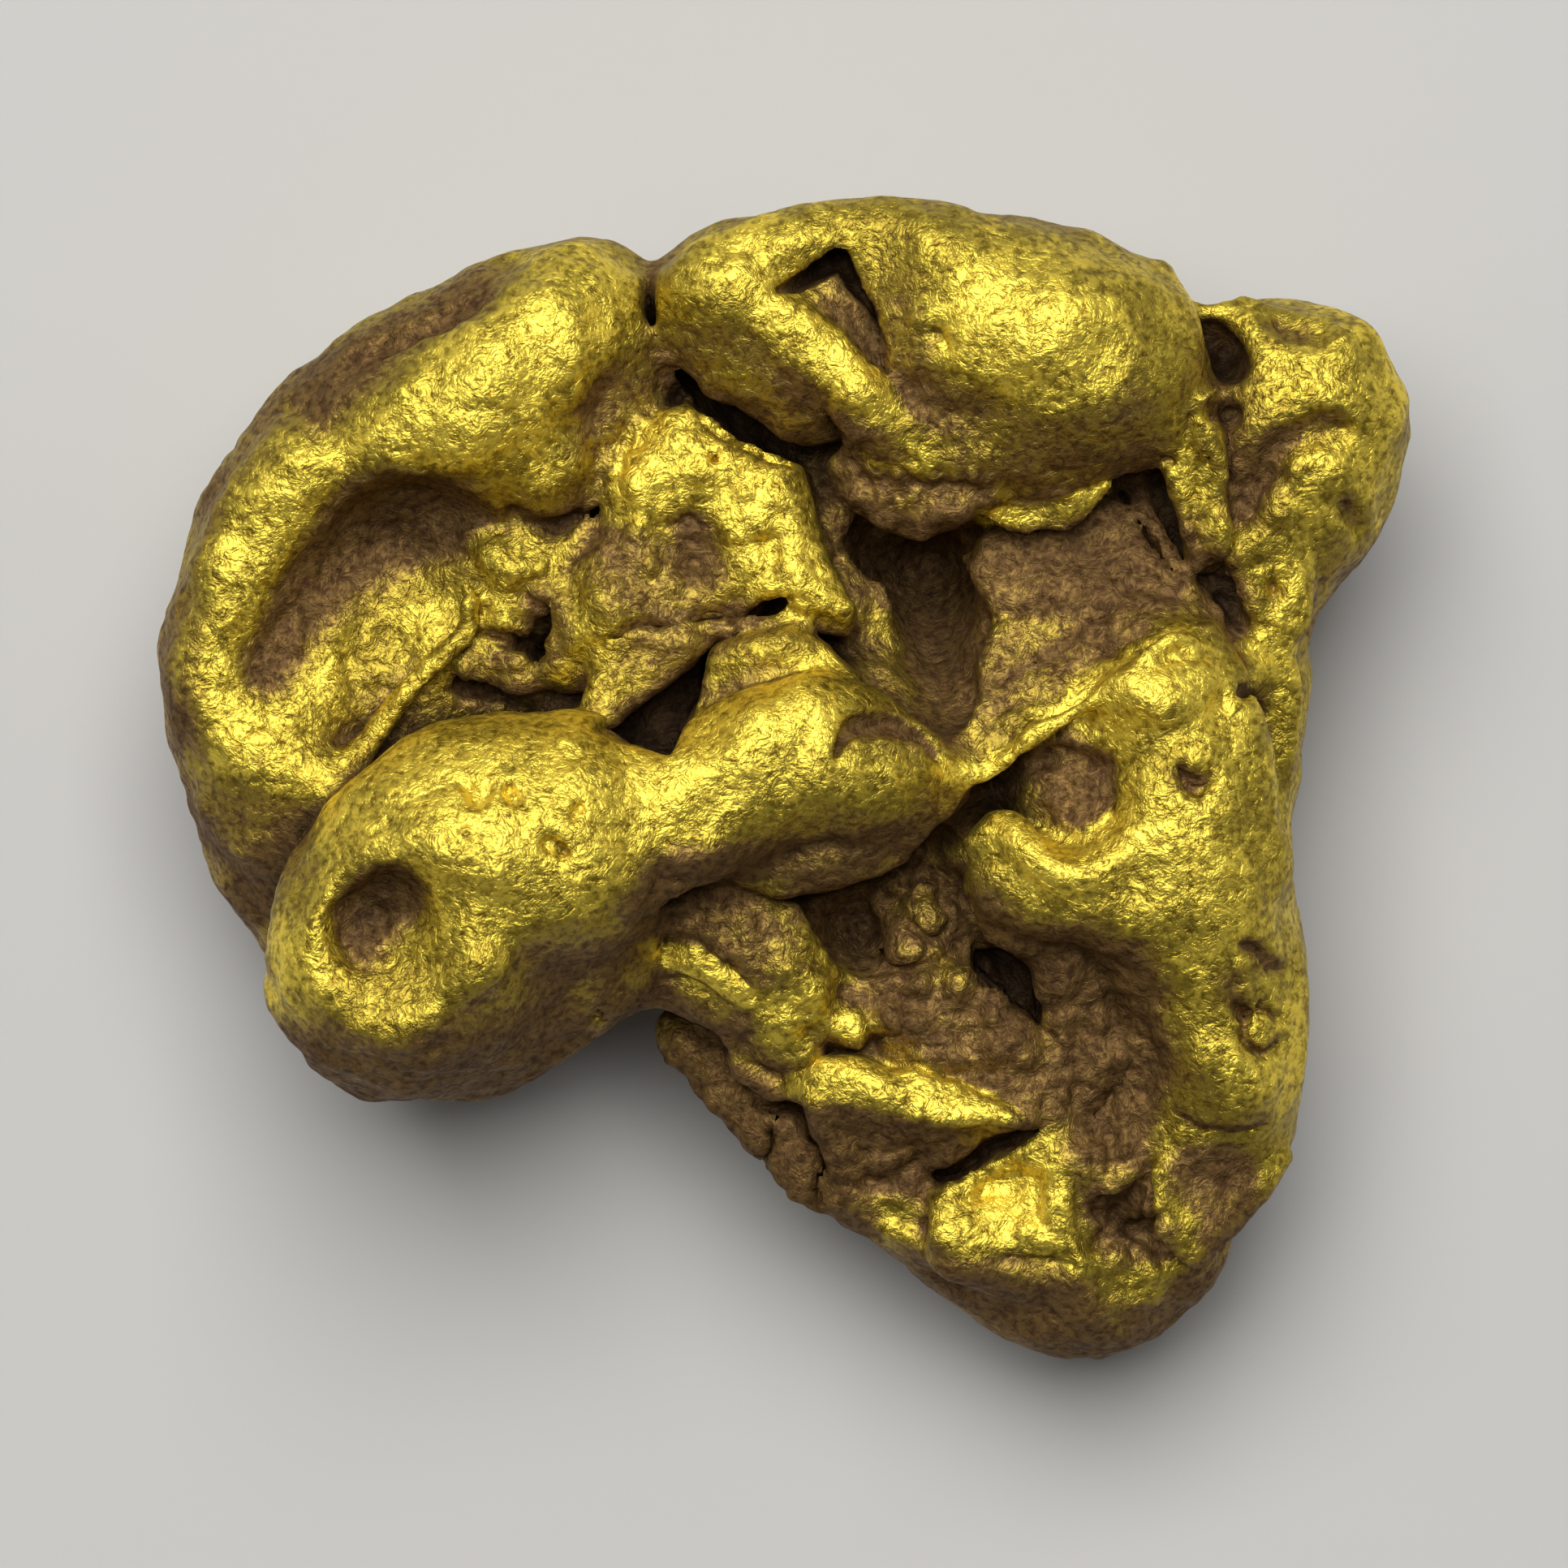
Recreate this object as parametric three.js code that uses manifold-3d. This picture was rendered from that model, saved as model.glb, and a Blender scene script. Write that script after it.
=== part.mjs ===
// A water-worn native gold nugget, lying on its broad side. Millimetres, +Z up.
// The lump is one piece of metal: thick folds of gold, rolled over one another and
// hammered together in a stream bed, with hollows and creases left between them.
// The origin is under the middle of its box, on the surface that it rests on.

import * as THREE from 'three';
import { mergeVertices } from 'three/addons/utils/BufferGeometryUtils.js';
import Module from 'manifold-3d';

// Driving dimensions
const LENGTH = 18.0;              // along X
const WIDTH = 16.7;               // along Y
const HEIGHT = 8.2;               // along Z, from the worn flats to the top of the thumb
const WORN = 0.2;                 // metal worn off the underside, leaving the flats

// The body under the folds: the nugget's outline, swollen like a cushion
const BODY_INSET = 0.45;          // how far it stays inside the outline
const BODY_MIDDLE = 2.5;          // height of its widest level
const BODY_HALF = 2.0;            // half its thickness
const BODY_EDGE = 2.8;            // how far in from the outline it reaches full thickness

// How finely the skin is drawn
const MESH = 0.47;                // side of a cell of the skin's net
const SOFTEN_SHARE = 0.5;         // how much of each sample comes from those round it
const FILL_DEPTH = 0.05;          // how far inside the metal a filled sample lies
const SETTLE_ROUNDS = 2;          // rounds of evening the net out
const SETTLE_SHARE = 0.3;         // how far a knot moves in one of them
const CURVE_STEPS = 4;            // straight steps between two points of a path
const HEADROOM = 1.0;             // empty space sampled over the top

// Outline seen from above, anticlockwise from the left end
const OUTLINE = [
  [-9.0, 1.6], [-8.8, 0.4], [-8.5, -0.6], [-8.0, -1.4], [-7.5, -2.1], [-7.4, -2.7],
  [-7.0, -3.5], [-6.5, -4.2], [-5.8, -4.6], [-5.1, -4.7], [-4.2, -4.5], [-3.3, -4.05],
  [-2.6, -3.95], [-1.85, -3.65], [-1.25, -4.4], [-0.8, -5.1], [-0.1, -5.6], [0.6, -6.2],
  [1.3, -6.75], [2.15, -7.1], [2.7, -7.65], [3.4, -8.15], [4.3, -8.35], [5.2, -8.1],
  [5.9, -7.6], [6.3, -6.9], [6.9, -6.0], [7.4, -5.2], [7.65, -4.3], [7.8, -3.5],
  [7.65, -2.75], [7.3, -2.1], [7.15, -1.3], [7.3, -0.5], [7.5, 0.3], [7.62, 1.2],
  [7.65, 1.95], [7.95, 2.6], [8.35, 3.0], [8.75, 3.6], [8.95, 4.4], [8.95, 5.2],
  [8.65, 6.0], [8.1, 6.65], [7.3, 6.98], [6.3, 7.0], [5.7, 7.3], [4.9, 7.65],
  [3.7, 7.9], [2.6, 8.2], [1.5, 8.35], [0.3, 8.27], [-0.8, 8.05], [-1.4, 7.75],
  [-2.3, 7.8], [-3.3, 7.6], [-4.2, 7.2], [-5.3, 6.75], [-6.4, 6.1], [-7.2, 5.35],
  [-7.95, 4.45], [-8.45, 3.6], [-8.85, 2.6],
];

// A fold is a thick rope of metal along a smooth path. Each point is x, y, z and the
// rope's radius there; blend is how widely it flows into the metal it lies on, and
// squash flattens its section.
const FOLDS = [
  // underside
  { blend: 0.8, at: [[-6.9, 1.2, 2.3, 1.6], [-6.2, 3.4, 1.9, 2.0], [-3.9, 5.2, 1.9, 1.9]] },
  { blend: 0.6, at: [[-0.6, 6.1, 2.6, 1.6], [2.0, 6.0, 1.9, 2.0], [4.6, 5.2, 2.1, 1.9]] },
  { blend: 0.6, at: [
    [-4.8, -2.2, 2.1, 2.0], [-2.0, 0.4, 2.1, 1.7], [1.6, 0.9, 2.1, 1.8], [4.6, 1.6, 2.2, 1.7],
  ] },
  { blend: 0.6, at: [[5.3, -0.6, 2.1, 1.9], [5.6, -3.2, 1.8, 1.85], [4.5, -5.8, 1.6, 1.75]] },
  // left lobe: a thick rim rolled round a dish
  { blend: 0.7, at: [
    [-6.2, -1.0, 3.6, 1.3], [-7.3, 0.2, 4.0, 1.4], [-7.4, 1.7, 4.1, 1.55], [-7.0, 3.1, 4.2, 1.6],
    [-6.2, 4.4, 4.4, 1.6], [-5.0, 5.2, 4.6, 1.7], [-3.7, 5.9, 4.7, 1.6], [-2.9, 6.2, 4.7, 1.45],
  ] },
  { blend: 0.8, at: [
    [-5.6, 5.0, 5.3, 1.1], [-4.5, 5.3, 5.6, 1.25], [-3.5, 5.6, 5.7, 1.1], [-2.9, 6.4, 5.2, 1.1],
  ] },
  { blend: 0.5, squash: 0.9, at: [[-4.6, 4.6, 5.2, 1.1], [-3.7, 4.5, 5.2, 1.0]] },
  { blend: 0.5, squash: 0.7, at: [
    [-5.6, 0.9, 3.9, 1.4], [-4.4, 2.2, 4.1, 1.5], [-3.6, 3.4, 4.2, 1.3],
  ] },
  { blend: 0.4, at: [[-7.3, -0.9, 3.0, 1.1], [-6.8, -1.9, 2.9, 0.9]] },
  // top lobe, folded over itself along its left side
  { blend: 0.5, at: [
    [-0.5, 6.7, 4.7, 1.35], [0.9, 6.8, 4.8, 1.45], [2.4, 6.5, 4.9, 1.65], [4.1, 6.0, 4.9, 1.75],
    [4.7, 5.5, 4.6, 1.3],
  ] },
  { blend: 0.6, squash: 0.9, at: [
    [2.7, 6.4, 5.7, 1.2], [3.7, 6.2, 5.9, 1.5], [4.5, 5.9, 5.7, 1.2],
  ] },
  { blend: 0.3, at: [
    [-0.8, 7.0, 5.7, 0.8], [0.4, 7.6, 5.8, 0.65], [1.8, 7.5, 5.8, 0.7], [2.8, 7.0, 5.9, 0.9],
  ] },
  { blend: 0.3, at: [
    [-0.9, 6.8, 5.8, 0.7], [0.1, 6.4, 6.0, 0.7], [0.9, 5.7, 6.0, 0.65], [1.9, 4.5, 5.6, 0.55],
  ] },
  { blend: 0.3, at: [[-1.0, 6.3, 5.0, 0.7], [-0.1, 5.9, 5.1, 0.9], [0.7, 5.3, 5.0, 0.8]] },
  { blend: 0.3, squash: 0.8, at: [
    [1.2, 4.2, 5.4, 0.55], [2.0, 4.2, 5.6, 0.65], [4.0, 4.4, 5.5, 0.7], [4.9, 4.8, 5.3, 0.7],
  ] },
  { blend: 0.3, squash: 0.8, at: [
    [2.2, 5.2, 5.6, 0.9], [3.6, 5.2, 5.6, 1.0], [4.8, 5.4, 5.4, 0.9],
  ] },
  // top right knob and the column under it
  { blend: 0.5, at: [[6.9, 5.4, 3.8, 1.5], [7.3, 5.1, 3.9, 1.65], [7.3, 4.3, 3.8, 1.55]] },
  { blend: 0.4, at: [
    [6.9, 6.2, 4.6, 0.7], [7.8, 5.9, 4.7, 0.85], [8.0, 5.0, 4.6, 0.8], [7.5, 4.0, 4.5, 0.8],
  ] },
  { blend: 0.4, at: [[5.6, 5.0, 5.4, 0.55], [6.05, 4.3, 5.2, 0.5], [6.1, 3.0, 4.7, 0.5]] },
  { blend: 0.4, at: [
    [7.1, 3.4, 3.7, 1.1], [6.6, 2.2, 3.7, 1.05], [6.6, 0.8, 3.6, 1.0], [6.4, -0.6, 3.6, 1.0],
  ] },
  // thumb, and the bridge that runs from it to the right side
  { blend: 0.3, at: [[-3.4, -0.9, 5.9, 1.85], [-4.5, -1.2, 5.9, 1.95], [-5.4, -2.4, 5.4, 2.05]] },
  { blend: 0.5, at: [[-3.2, -2.2, 4.4, 1.5], [-4.6, -2.9, 4.1, 1.7], [-5.4, -2.9, 4.2, 1.7]] },
  { blend: 0.4, at: [[-6.2, -3.0, 5.9, 0.7], [-5.4, -3.3, 5.9, 0.8], [-4.7, -2.7, 6.2, 0.8]] },
  { blend: 0.4, squash: 0.9, at: [
    [-2.7, -0.7, 6.2, 1.2], [-1.4, -0.4, 6.2, 1.0], [-0.4, 0.1, 6.2, 1.1], [0.5, 0.4, 6.1, 1.1],
    [1.3, 0.2, 5.9, 0.9], [2.1, -0.1, 5.6, 0.65],
  ] },
  { blend: 0.4, at: [[-2.4, 0.0, 4.0, 1.5], [0.0, 0.5, 4.0, 1.5], [2.2, 0.4, 4.0, 1.3]] },
  // right side, from the peak down the long band
  { blend: 0.5, at: [
    [5.4, 1.4, 4.4, 1.4], [4.7, 0.2, 4.4, 1.6], [5.5, -1.3, 4.3, 1.75], [6.0, -3.0, 3.9, 1.55],
    [6.0, -4.8, 3.4, 1.4],
  ] },
  { blend: 0.4, squash: 0.9, at: [
    [5.6, 1.7, 5.6, 0.65], [5.3, 0.7, 5.6, 0.9], [5.6, -0.4, 5.6, 1.0], [5.8, -1.6, 5.3, 1.1],
    [6.2, -2.9, 4.9, 1.0], [6.3, -4.2, 4.5, 0.95],
  ] },
  { blend: 0.3, at: [
    [5.7, 2.0, 5.8, 0.45], [4.7, 1.2, 5.8, 0.45], [3.7, 0.5, 5.7, 0.45], [2.9, 0.0, 5.5, 0.5],
  ] },
  { blend: 0.4, squash: 0.9, at: [
    [3.0, -0.6, 5.2, 0.65], [3.5, -1.4, 5.4, 0.75], [4.3, -1.7, 5.4, 0.9], [5.2, -1.6, 5.4, 1.0],
  ] },
  { blend: 0.3, at: [
    [3.1, -1.6, 4.9, 0.6], [3.6, -2.4, 4.7, 0.65], [4.4, -3.0, 4.4, 0.8], [5.0, -4.0, 4.0, 0.8],
  ] },
  // lower part: small folds, leaves and the blunt bottom end
  { blend: 0.3, squash: 0.9, at: [
    [-2.2, -2.7, 4.0, 0.75], [-1.3, -2.5, 4.4, 0.7], [-0.6, -2.9, 4.5, 0.7],
    [-0.1, -3.5, 4.4, 0.75],
  ] },
  { blend: 0.3, squash: 0.9, at: [
    [0.6, -3.3, 4.1, 0.7], [1.3, -3.4, 4.0, 0.6], [1.9, -3.7, 3.8, 0.6],
  ] },
  { blend: 0.3, squash: 0.9, at: [
    [0.3, -4.2, 4.2, 0.55], [1.2, -4.6, 4.4, 0.6], [2.3, -4.9, 4.4, 0.55], [3.5, -5.0, 4.2, 0.5],
  ] },
  { blend: 0.3, at: [[0.6, -4.8, 3.8, 0.6], [1.4, -5.3, 3.7, 0.65], [2.3, -5.3, 3.7, 0.6]] },
  { blend: 0.3, squash: 0.9, at: [
    [2.7, -6.2, 3.7, 0.6], [3.4, -5.9, 3.8, 0.7], [3.6, -6.5, 3.7, 0.65],
  ] },
  { blend: 0.4, at: [
    [2.4, -6.6, 2.7, 0.8], [3.3, -6.9, 2.6, 1.1], [4.4, -7.1, 2.6, 1.25], [5.4, -6.7, 2.8, 1.1],
  ] },
  { blend: 0.3, squash: 0.9, at: [[6.0, -5.6, 4.0, 0.75], [6.1, -6.3, 3.7, 0.7]] },
  { blend: 0.3, at: [
    [-1.3, -3.8, 3.0, 0.6], [-0.6, -4.6, 3.1, 0.55], [0.3, -5.5, 3.2, 0.55],
    [1.2, -6.2, 3.2, 0.5], [2.1, -6.7, 3.2, 0.5],
  ] },
  { blend: 0.3, at: [[-0.6, -3.9, 2.2, 0.8], [0.8, -5.3, 2.2, 0.9], [2.0, -6.3, 2.3, 0.8]] },
  { blend: 0.3, squash: 0.8, at: [
    [1.0, -4.2, 3.0, 1.0], [2.8, -4.2, 3.2, 1.1], [4.0, -4.6, 3.3, 1.0],
  ] },
  // the rough plateau in the middle, and the flat plate right of the deep hollow
  { blend: 0.3, squash: 0.6, at: [
    [-1.4, 4.4, 5.2, 1.0], [-0.7, 3.6, 5.2, 1.2], [-1.5, 2.9, 5.2, 1.2],
  ] },
  { blend: 0.3, squash: 0.6, at: [
    [-0.2, 3.9, 5.3, 0.9], [0.1, 3.0, 5.3, 0.9], [0.6, 2.4, 5.3, 0.7],
  ] },
  { blend: 0.3, squash: 0.6, at: [
    [3.6, 2.9, 4.2, 0.9], [4.7, 2.8, 4.4, 1.0], [4.0, 1.8, 4.4, 0.8],
  ] },
];

// A hollow is the same rope, taken away.
const HOLLOWS = [
  // dish in the left lobe
  { blend: 0.6, squash: 0.8, at: [
    [-7.2, 1.5, 6.3, 1.1], [-6.1, 2.4, 6.25, 1.2], [-5.4, 3.1, 6.1, 1.05],
  ] },
  { blend: 0.5, squash: 0.9, at: [
    [-7.45, 1.8, 5.6, 0.5], [-6.6, 2.8, 5.4, 0.6], [-5.85, 3.5, 5.15, 0.7],
    [-5.2, 3.7, 5.3, 0.55],
  ] },
  // deep hollow under the top lobe's lip
  { blend: 0.3, at: [
    [1.4, 3.1, 4.9, 0.6], [2.0, 2.9, 4.5, 0.7], [2.2, 2.2, 4.8, 0.6], [2.3, 1.6, 5.2, 0.5],
  ] },
  // hollow below the bridge
  { blend: 0.4, at: [
    [0.5, -2.1, 4.7, 0.7], [1.3, -2.1, 4.6, 0.9], [2.2, -2.2, 4.6, 0.8], [3.0, -3.0, 4.5, 0.6],
  ] },
  // crater in the right shoulder, and the pit in the bottom end
  { blend: 0.4, at: [[3.8, 0.15, 6.4, 0.6], [4.25, 0.05, 6.4, 0.75], [4.35, -0.35, 6.4, 0.65]] },
  { blend: 0.3, at: [[4.8, -6.0, 4.1, 0.5], [5.1, -6.5, 3.9, 0.5]] },
  // sloping flank below the right shoulder
  { blend: 0.6, at: [[4.0, -3.2, 5.7, 0.8], [4.5, -3.9, 5.4, 0.9], [4.6, -4.8, 5.0, 0.7]] },
  // crease between the left and top lobes, and the valley beside the plateau
  { blend: 0.3, at: [
    [-1.5, 8.3, 4.6, 0.4], [-1.75, 7.1, 5.9, 0.35], [-1.6, 6.2, 5.6, 0.35],
    [-0.8, 5.4, 5.7, 0.35],
  ] },
  { blend: 0.3, at: [[-2.4, 5.6, 6.1, 0.45], [-2.6, 4.8, 5.9, 0.45], [-2.9, 3.7, 5.7, 0.45]] },
  // cleft in the top lobe, and the gap behind the knob
  { blend: 0.3, at: [[0.9, 7.2, 6.7, 0.4], [1.3, 6.6, 6.7, 0.4], [1.7, 5.6, 6.7, 0.4]] },
  { blend: 0.3, at: [[6.3, 6.1, 5.1, 0.4], [6.2, 5.2, 5.0, 0.4]] },
  // creases between the folds of the underside
  { blend: 0.3, at: [
    [-8.6, 0.2, 0.6, 0.4], [-5.0, 1.0, 0.2, 0.4], [-2.6, 3.2, 0.1, 0.4], [-1.3, 7.6, 1.2, 0.5],
  ] },
  { blend: 0.3, at: [
    [-1.0, -4.6, 0.7, 0.5], [1.6, -1.6, 0.1, 0.5], [3.6, -0.6, 0.1, 0.4], [7.6, 0.8, 0.9, 0.4],
  ] },
  { blend: 0.3, at: [
    [-0.6, 3.2, 0.0, 0.4], [2.4, 3.3, 0.1, 0.45], [5.6, 3.2, 0.5, 0.4], [8.6, 2.8, 1.6, 0.4],
  ] },
];

// ---------------------------------------------------------------- the form

// A fold or hollow made ready to measure: its path in short straight steps, with a
// radius at each step and a ball round the whole of it.
function rope({ blend, squash = 1, at }) {
  const corners = at.map(([x, y, z]) => new THREE.Vector3(x, y, z / squash));
  const path = new THREE.CatmullRomCurve3(corners, false, 'catmullrom');
  const steps = CURVE_STEPS * (at.length - 1);
  const centres = path.getPoints(steps);
  const radii = centres.map((_, step) => {
    const place = step / CURVE_STEPS;
    const from = Math.min(Math.floor(place), at.length - 2);
    return THREE.MathUtils.lerp(at[from][3], at[from + 1][3], place - from);
  });
  const ball = new THREE.Box3().setFromPoints(centres).getBoundingSphere(new THREE.Sphere());
  ball.radius += Math.max(...radii);
  return { blend, squash, centres, radii, ball };
}

// Distance from a point to a rope's surface, negative inside it.
function ropeDistance(point, { squash, centres, radii }) {
  const x = point.x;
  const y = point.y;
  const z = point.z / squash;
  let nearest = Infinity;
  for (let step = 0; step + 1 < centres.length; step++) {
    const from = centres[step];
    const to = centres[step + 1];
    const runX = to.x - from.x;
    const runY = to.y - from.y;
    const runZ = to.z - from.z;
    const offX = x - from.x;
    const offY = y - from.y;
    const offZ = z - from.z;
    const share = (offX * runX + offY * runY + offZ * runZ) / (runX ** 2 + runY ** 2 + runZ ** 2);
    const along = THREE.MathUtils.clamp(share, 0, 1);
    const away = Math.hypot(offX - along * runX, offY - along * runY, offZ - along * runZ);
    const radius = THREE.MathUtils.lerp(radii[step], radii[step + 1], along);
    nearest = Math.min(nearest, away - radius);
  }
  return nearest * squash;
}

// Distance across the plan from a point to the outline, negative inside it.
function outlineDistance(x, y, ring) {
  let nearest = Infinity;
  let inside = false;
  for (let i = 0, j = ring.length - 1; i < ring.length; j = i++) {
    const runX = ring[j].x - ring[i].x;
    const runY = ring[j].y - ring[i].y;
    const share = ((x - ring[i].x) * runX + (y - ring[i].y) * runY) / (runX ** 2 + runY ** 2);
    const along = THREE.MathUtils.clamp(share, 0, 1);
    nearest = Math.min(nearest, Math.hypot(x - ring[i].x - along * runX, y - ring[i].y - along * runY));
    const crosses = ring[i].y > y !== ring[j].y > y;
    if (crosses && x < ring[i].x + ((y - ring[i].y) * runX) / runY) {
      inside = !inside;
    }
  }
  return inside ? -nearest : nearest;
}

// The cushion under the folds: round at its edge, flat across its middle.
function bodyDistance(point, ring) {
  const flatness = BODY_HALF / BODY_EDGE;
  const across = Math.max(outlineDistance(point.x, point.y, ring) + BODY_INSET + BODY_EDGE, 0);
  const up = (point.z - BODY_MIDDLE) / flatness;
  return (Math.hypot(across, up) - BODY_EDGE) * flatness;
}

// The nearer of two distances, with the corner between them filled over a width.
function flowTogether(one, other, width) {
  const overlap = Math.max(width - Math.abs(one - other), 0) / width;
  return Math.min(one, other) - (overlap * overlap * width) / 4;
}

const ring = new THREE.SplineCurve(OUTLINE.concat([OUTLINE[0]]).map(([x, y]) => new THREE.Vector2(x, y)))
  .getPoints(2 * OUTLINE.length)
  .slice(1);
const folds = FOLDS.map(rope);
const hollows = HOLLOWS.map(rope);

// Distance from a point to the nugget's surface: body and folds flowed together, and
// then the hollows taken out.
function nuggetDistance(point) {
  let distance = bodyDistance(point, ring);
  for (const fold of folds) {
    if (reach(point, fold) < distance + fold.blend) {
      distance = flowTogether(distance, ropeDistance(point, fold), fold.blend);
    }
  }
  for (const hollow of hollows) {
    if (reach(point, hollow) < hollow.blend - distance) {
      distance = -flowTogether(-distance, ropeDistance(point, hollow), hollow.blend);
    }
  }
  return distance;
}

// A quick under-estimate of the distance to a rope, from the ball round it.
function reach(point, { squash, ball }) {
  const flat = Math.hypot(point.x - ball.center.x, point.y - ball.center.y);
  const away = Math.hypot(flat, point.z / squash - ball.center.z);
  return (away - ball.radius) * squash;
}

// ---------------------------------------------------------------- the skin

// A box of sample points that holds the whole nugget, with the distance at each.
function sampleBox() {
  const low = new THREE.Vector3(-LENGTH / 2, -WIDTH / 2, 0).subScalar(2 * MESH);
  const span = new THREE.Vector3(LENGTH, WIDTH, HEIGHT + HEADROOM).addScalar(4 * MESH);
  const counts = span.divideScalar(MESH).ceil().toArray();
  const strides = [1, counts[0], counts[0] * counts[1]];
  const values = new Float64Array(counts[0] * counts[1] * counts[2]);
  const corner = (i, j, k) => new THREE.Vector3(i, j, k).multiplyScalar(MESH).add(low);
  for (let k = 0; k < counts[2]; k++) {
    for (let j = 0; j < counts[1]; j++) {
      for (let i = 0; i < counts[0]; i++) {
        values[i + j * strides[1] + k * strides[2]] = nuggetDistance(corner(i, j, k));
      }
    }
  }
  return { counts, strides, values, corner };
}

// Averages every sample with the six round it, which rounds off whatever is too fine
// for the net: thin gaps between folds, and pockets that they would close in.
function soften({ counts, strides, values }) {
  const sharp = values.slice();
  for (let k = 1; k + 1 < counts[2]; k++) {
    for (let j = 1; j + 1 < counts[1]; j++) {
      for (let i = 1; i + 1 < counts[0]; i++) {
        const at = i + j * strides[1] + k * strides[2];
        const around = strides.reduce((sum, stride) => sum + sharp[at - stride] + sharp[at + stride], 0);
        values[at] = (1 - SOFTEN_SHARE) * sharp[at] + (SOFTEN_SHARE * around) / 6;
      }
    }
  }
}

// Fills in where the four samples of a square are metal and air crosswise, until none
// are, so that the skin never meets itself along a line.
function fillCrossings({ strides, values }) {
  const last = values.length - strides[0] - strides[1] - strides[2];
  let filled = true;
  while (filled) {
    filled = false;
    for (let at = 0; at < last; at++) {
      for (const axis of [0, 1, 2]) {
        const one = strides[(axis + 1) % 3];
        const other = strides[(axis + 2) % 3];
        const square = [at, at + one, at + one + other, at + other];
        const [a, b, c, d] = square.map((sample) => values[sample] < 0);
        if (a === c && b === d && a !== b) {
          const air = square.filter((sample) => values[sample] >= 0);
          const thinnest = values[air[0]] < values[air[1]] ? air[0] : air[1];
          values[thinnest] = -FILL_DEPTH;
          filled = true;
        }
      }
    }
  }
}

// The knot of a cell: the middle of the places where the surface crosses its edges, or
// nothing where the surface misses the cell.
function knotIn({ strides, values, corner }, i, j, k) {
  const first = i + j * strides[1] + k * strides[2];
  const sum = new THREE.Vector3();
  let crossings = 0;
  for (const axis of [0, 1, 2]) {
    const [one, other] = [0, 1, 2].filter((way) => way !== axis);
    for (let side = 0; side < 4; side++) {
      const step = [0, 0, 0];
      step[one] = side & 1;
      step[other] = side >> 1;
      const at = first + step[0] + step[1] * strides[1] + step[2] * strides[2];
      const from = values[at];
      const to = values[at + strides[axis]];
      if (from < 0 !== to < 0) {
        step[axis] = from / (from - to);
        sum.add(corner(i + step[0], j + step[1], k + step[2]));
        crossings++;
      }
    }
  }
  return crossings ? sum.divideScalar(crossings) : null;
}

// The skin as a net: a knot in every cell that the surface passes through, and a
// four-sided mesh, split in two, round every sample edge that it crosses.
function net() {
  const box = sampleBox();
  soften(box);
  fillCrossings(box);
  const { counts, strides, values } = box;
  const knots = [];
  const places = new Map();
  for (let k = 0; k + 1 < counts[2]; k++) {
    for (let j = 0; j + 1 < counts[1]; j++) {
      for (let i = 0; i + 1 < counts[0]; i++) {
        const knot = knotIn(box, i, j, k);
        if (knot) {
          places.set(i + j * strides[1] + k * strides[2], knots.length);
          knots.push(knot);
        }
      }
    }
  }
  const meshes = [];
  for (const at of places.keys()) {
    for (const axis of [0, 1, 2]) {
      const one = strides[(axis + 1) % 3];
      const other = strides[(axis + 2) % 3];
      const inside = values[at] < 0;
      if (inside !== values[at + strides[axis]] < 0) {
        const round = [at - one - other, at - other, at, at - one].map((cell) => places.get(cell));
        meshes.push(inside ? round : round.reverse());
      }
    }
  }
  return { knots, meshes };
}

// Evens the net out: every knot moves a share of the way to the middle of its neighbours.
function settle({ knots, meshes }) {
  const near = knots.map(() => new Set());
  for (const mesh of meshes) {
    mesh.forEach((knot, side) => {
      near[knot].add(mesh[(side + 1) % 4]);
      near[mesh[(side + 1) % 4]].add(knot);
    });
  }
  for (let round = 0; round < SETTLE_ROUNDS; round++) {
    const middles = near.map((others) => {
      const middle = new THREE.Vector3();
      others.forEach((other) => middle.add(knots[other]));
      return middle.divideScalar(others.size);
    });
    knots.forEach((knot, i) => knot.lerp(middles[i], SETTLE_SHARE));
  }
}

// The closed skin as a geometry. Each mesh is split along its shorter diagonal, or the
// other one where its neighbour is already split between the same two knots.
function skin() {
  const drawn = net();
  settle(drawn);
  const { knots, meshes } = drawn;
  const splits = new Set();
  const index = meshes.flatMap(([a, b, c, d]) => {
    const name = `${Math.min(a, c)} ${Math.max(a, c)}`;
    const shorter = knots[a].distanceTo(knots[c]) <= knots[b].distanceTo(knots[d]);
    const straight = shorter && !splits.has(name);
    splits.add(straight ? name : `${Math.min(b, d)} ${Math.max(b, d)}`);
    return straight ? [a, b, c, a, c, d] : [a, b, d, b, c, d];
  });
  return new THREE.BufferGeometry().setFromPoints(knots).setIndex(index);
}

// Stretches a geometry to the driving dimensions, with its base worn off below z = 0.
function fit(net) {
  net.computeBoundingBox();
  const size = net.boundingBox.getSize(new THREE.Vector3());
  const middle = net.boundingBox.getCenter(new THREE.Vector3());
  net.translate(-middle.x, -middle.y, -net.boundingBox.min.z);
  net.scale(LENGTH / size.x, WIDTH / size.y, (HEIGHT + WORN) / size.z);
  net.translate(0, 0, -WORN);
  return net;
}

const manifold = await Module();
manifold.setup();

// A closed geometry as a solid that can be cut.
function solid(geometry) {
  const merged = geometry.clone();
  merged.deleteAttribute('normal');
  merged.deleteAttribute('uv');
  const { attributes, index } = mergeVertices(merged);
  const vertProperties = Float32Array.from(attributes.position.array);
  const triVerts = Uint32Array.from(index.array);
  return new manifold.Manifold(new manifold.Mesh({ numProp: 3, vertProperties, triVerts }));
}

// What the stream bed has worn away: everything below z = 0.
const below = new THREE.BoxGeometry(2 * LENGTH, 2 * WIDTH, HEIGHT);
below.translate(0, 0, -HEIGHT / 2);

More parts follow.
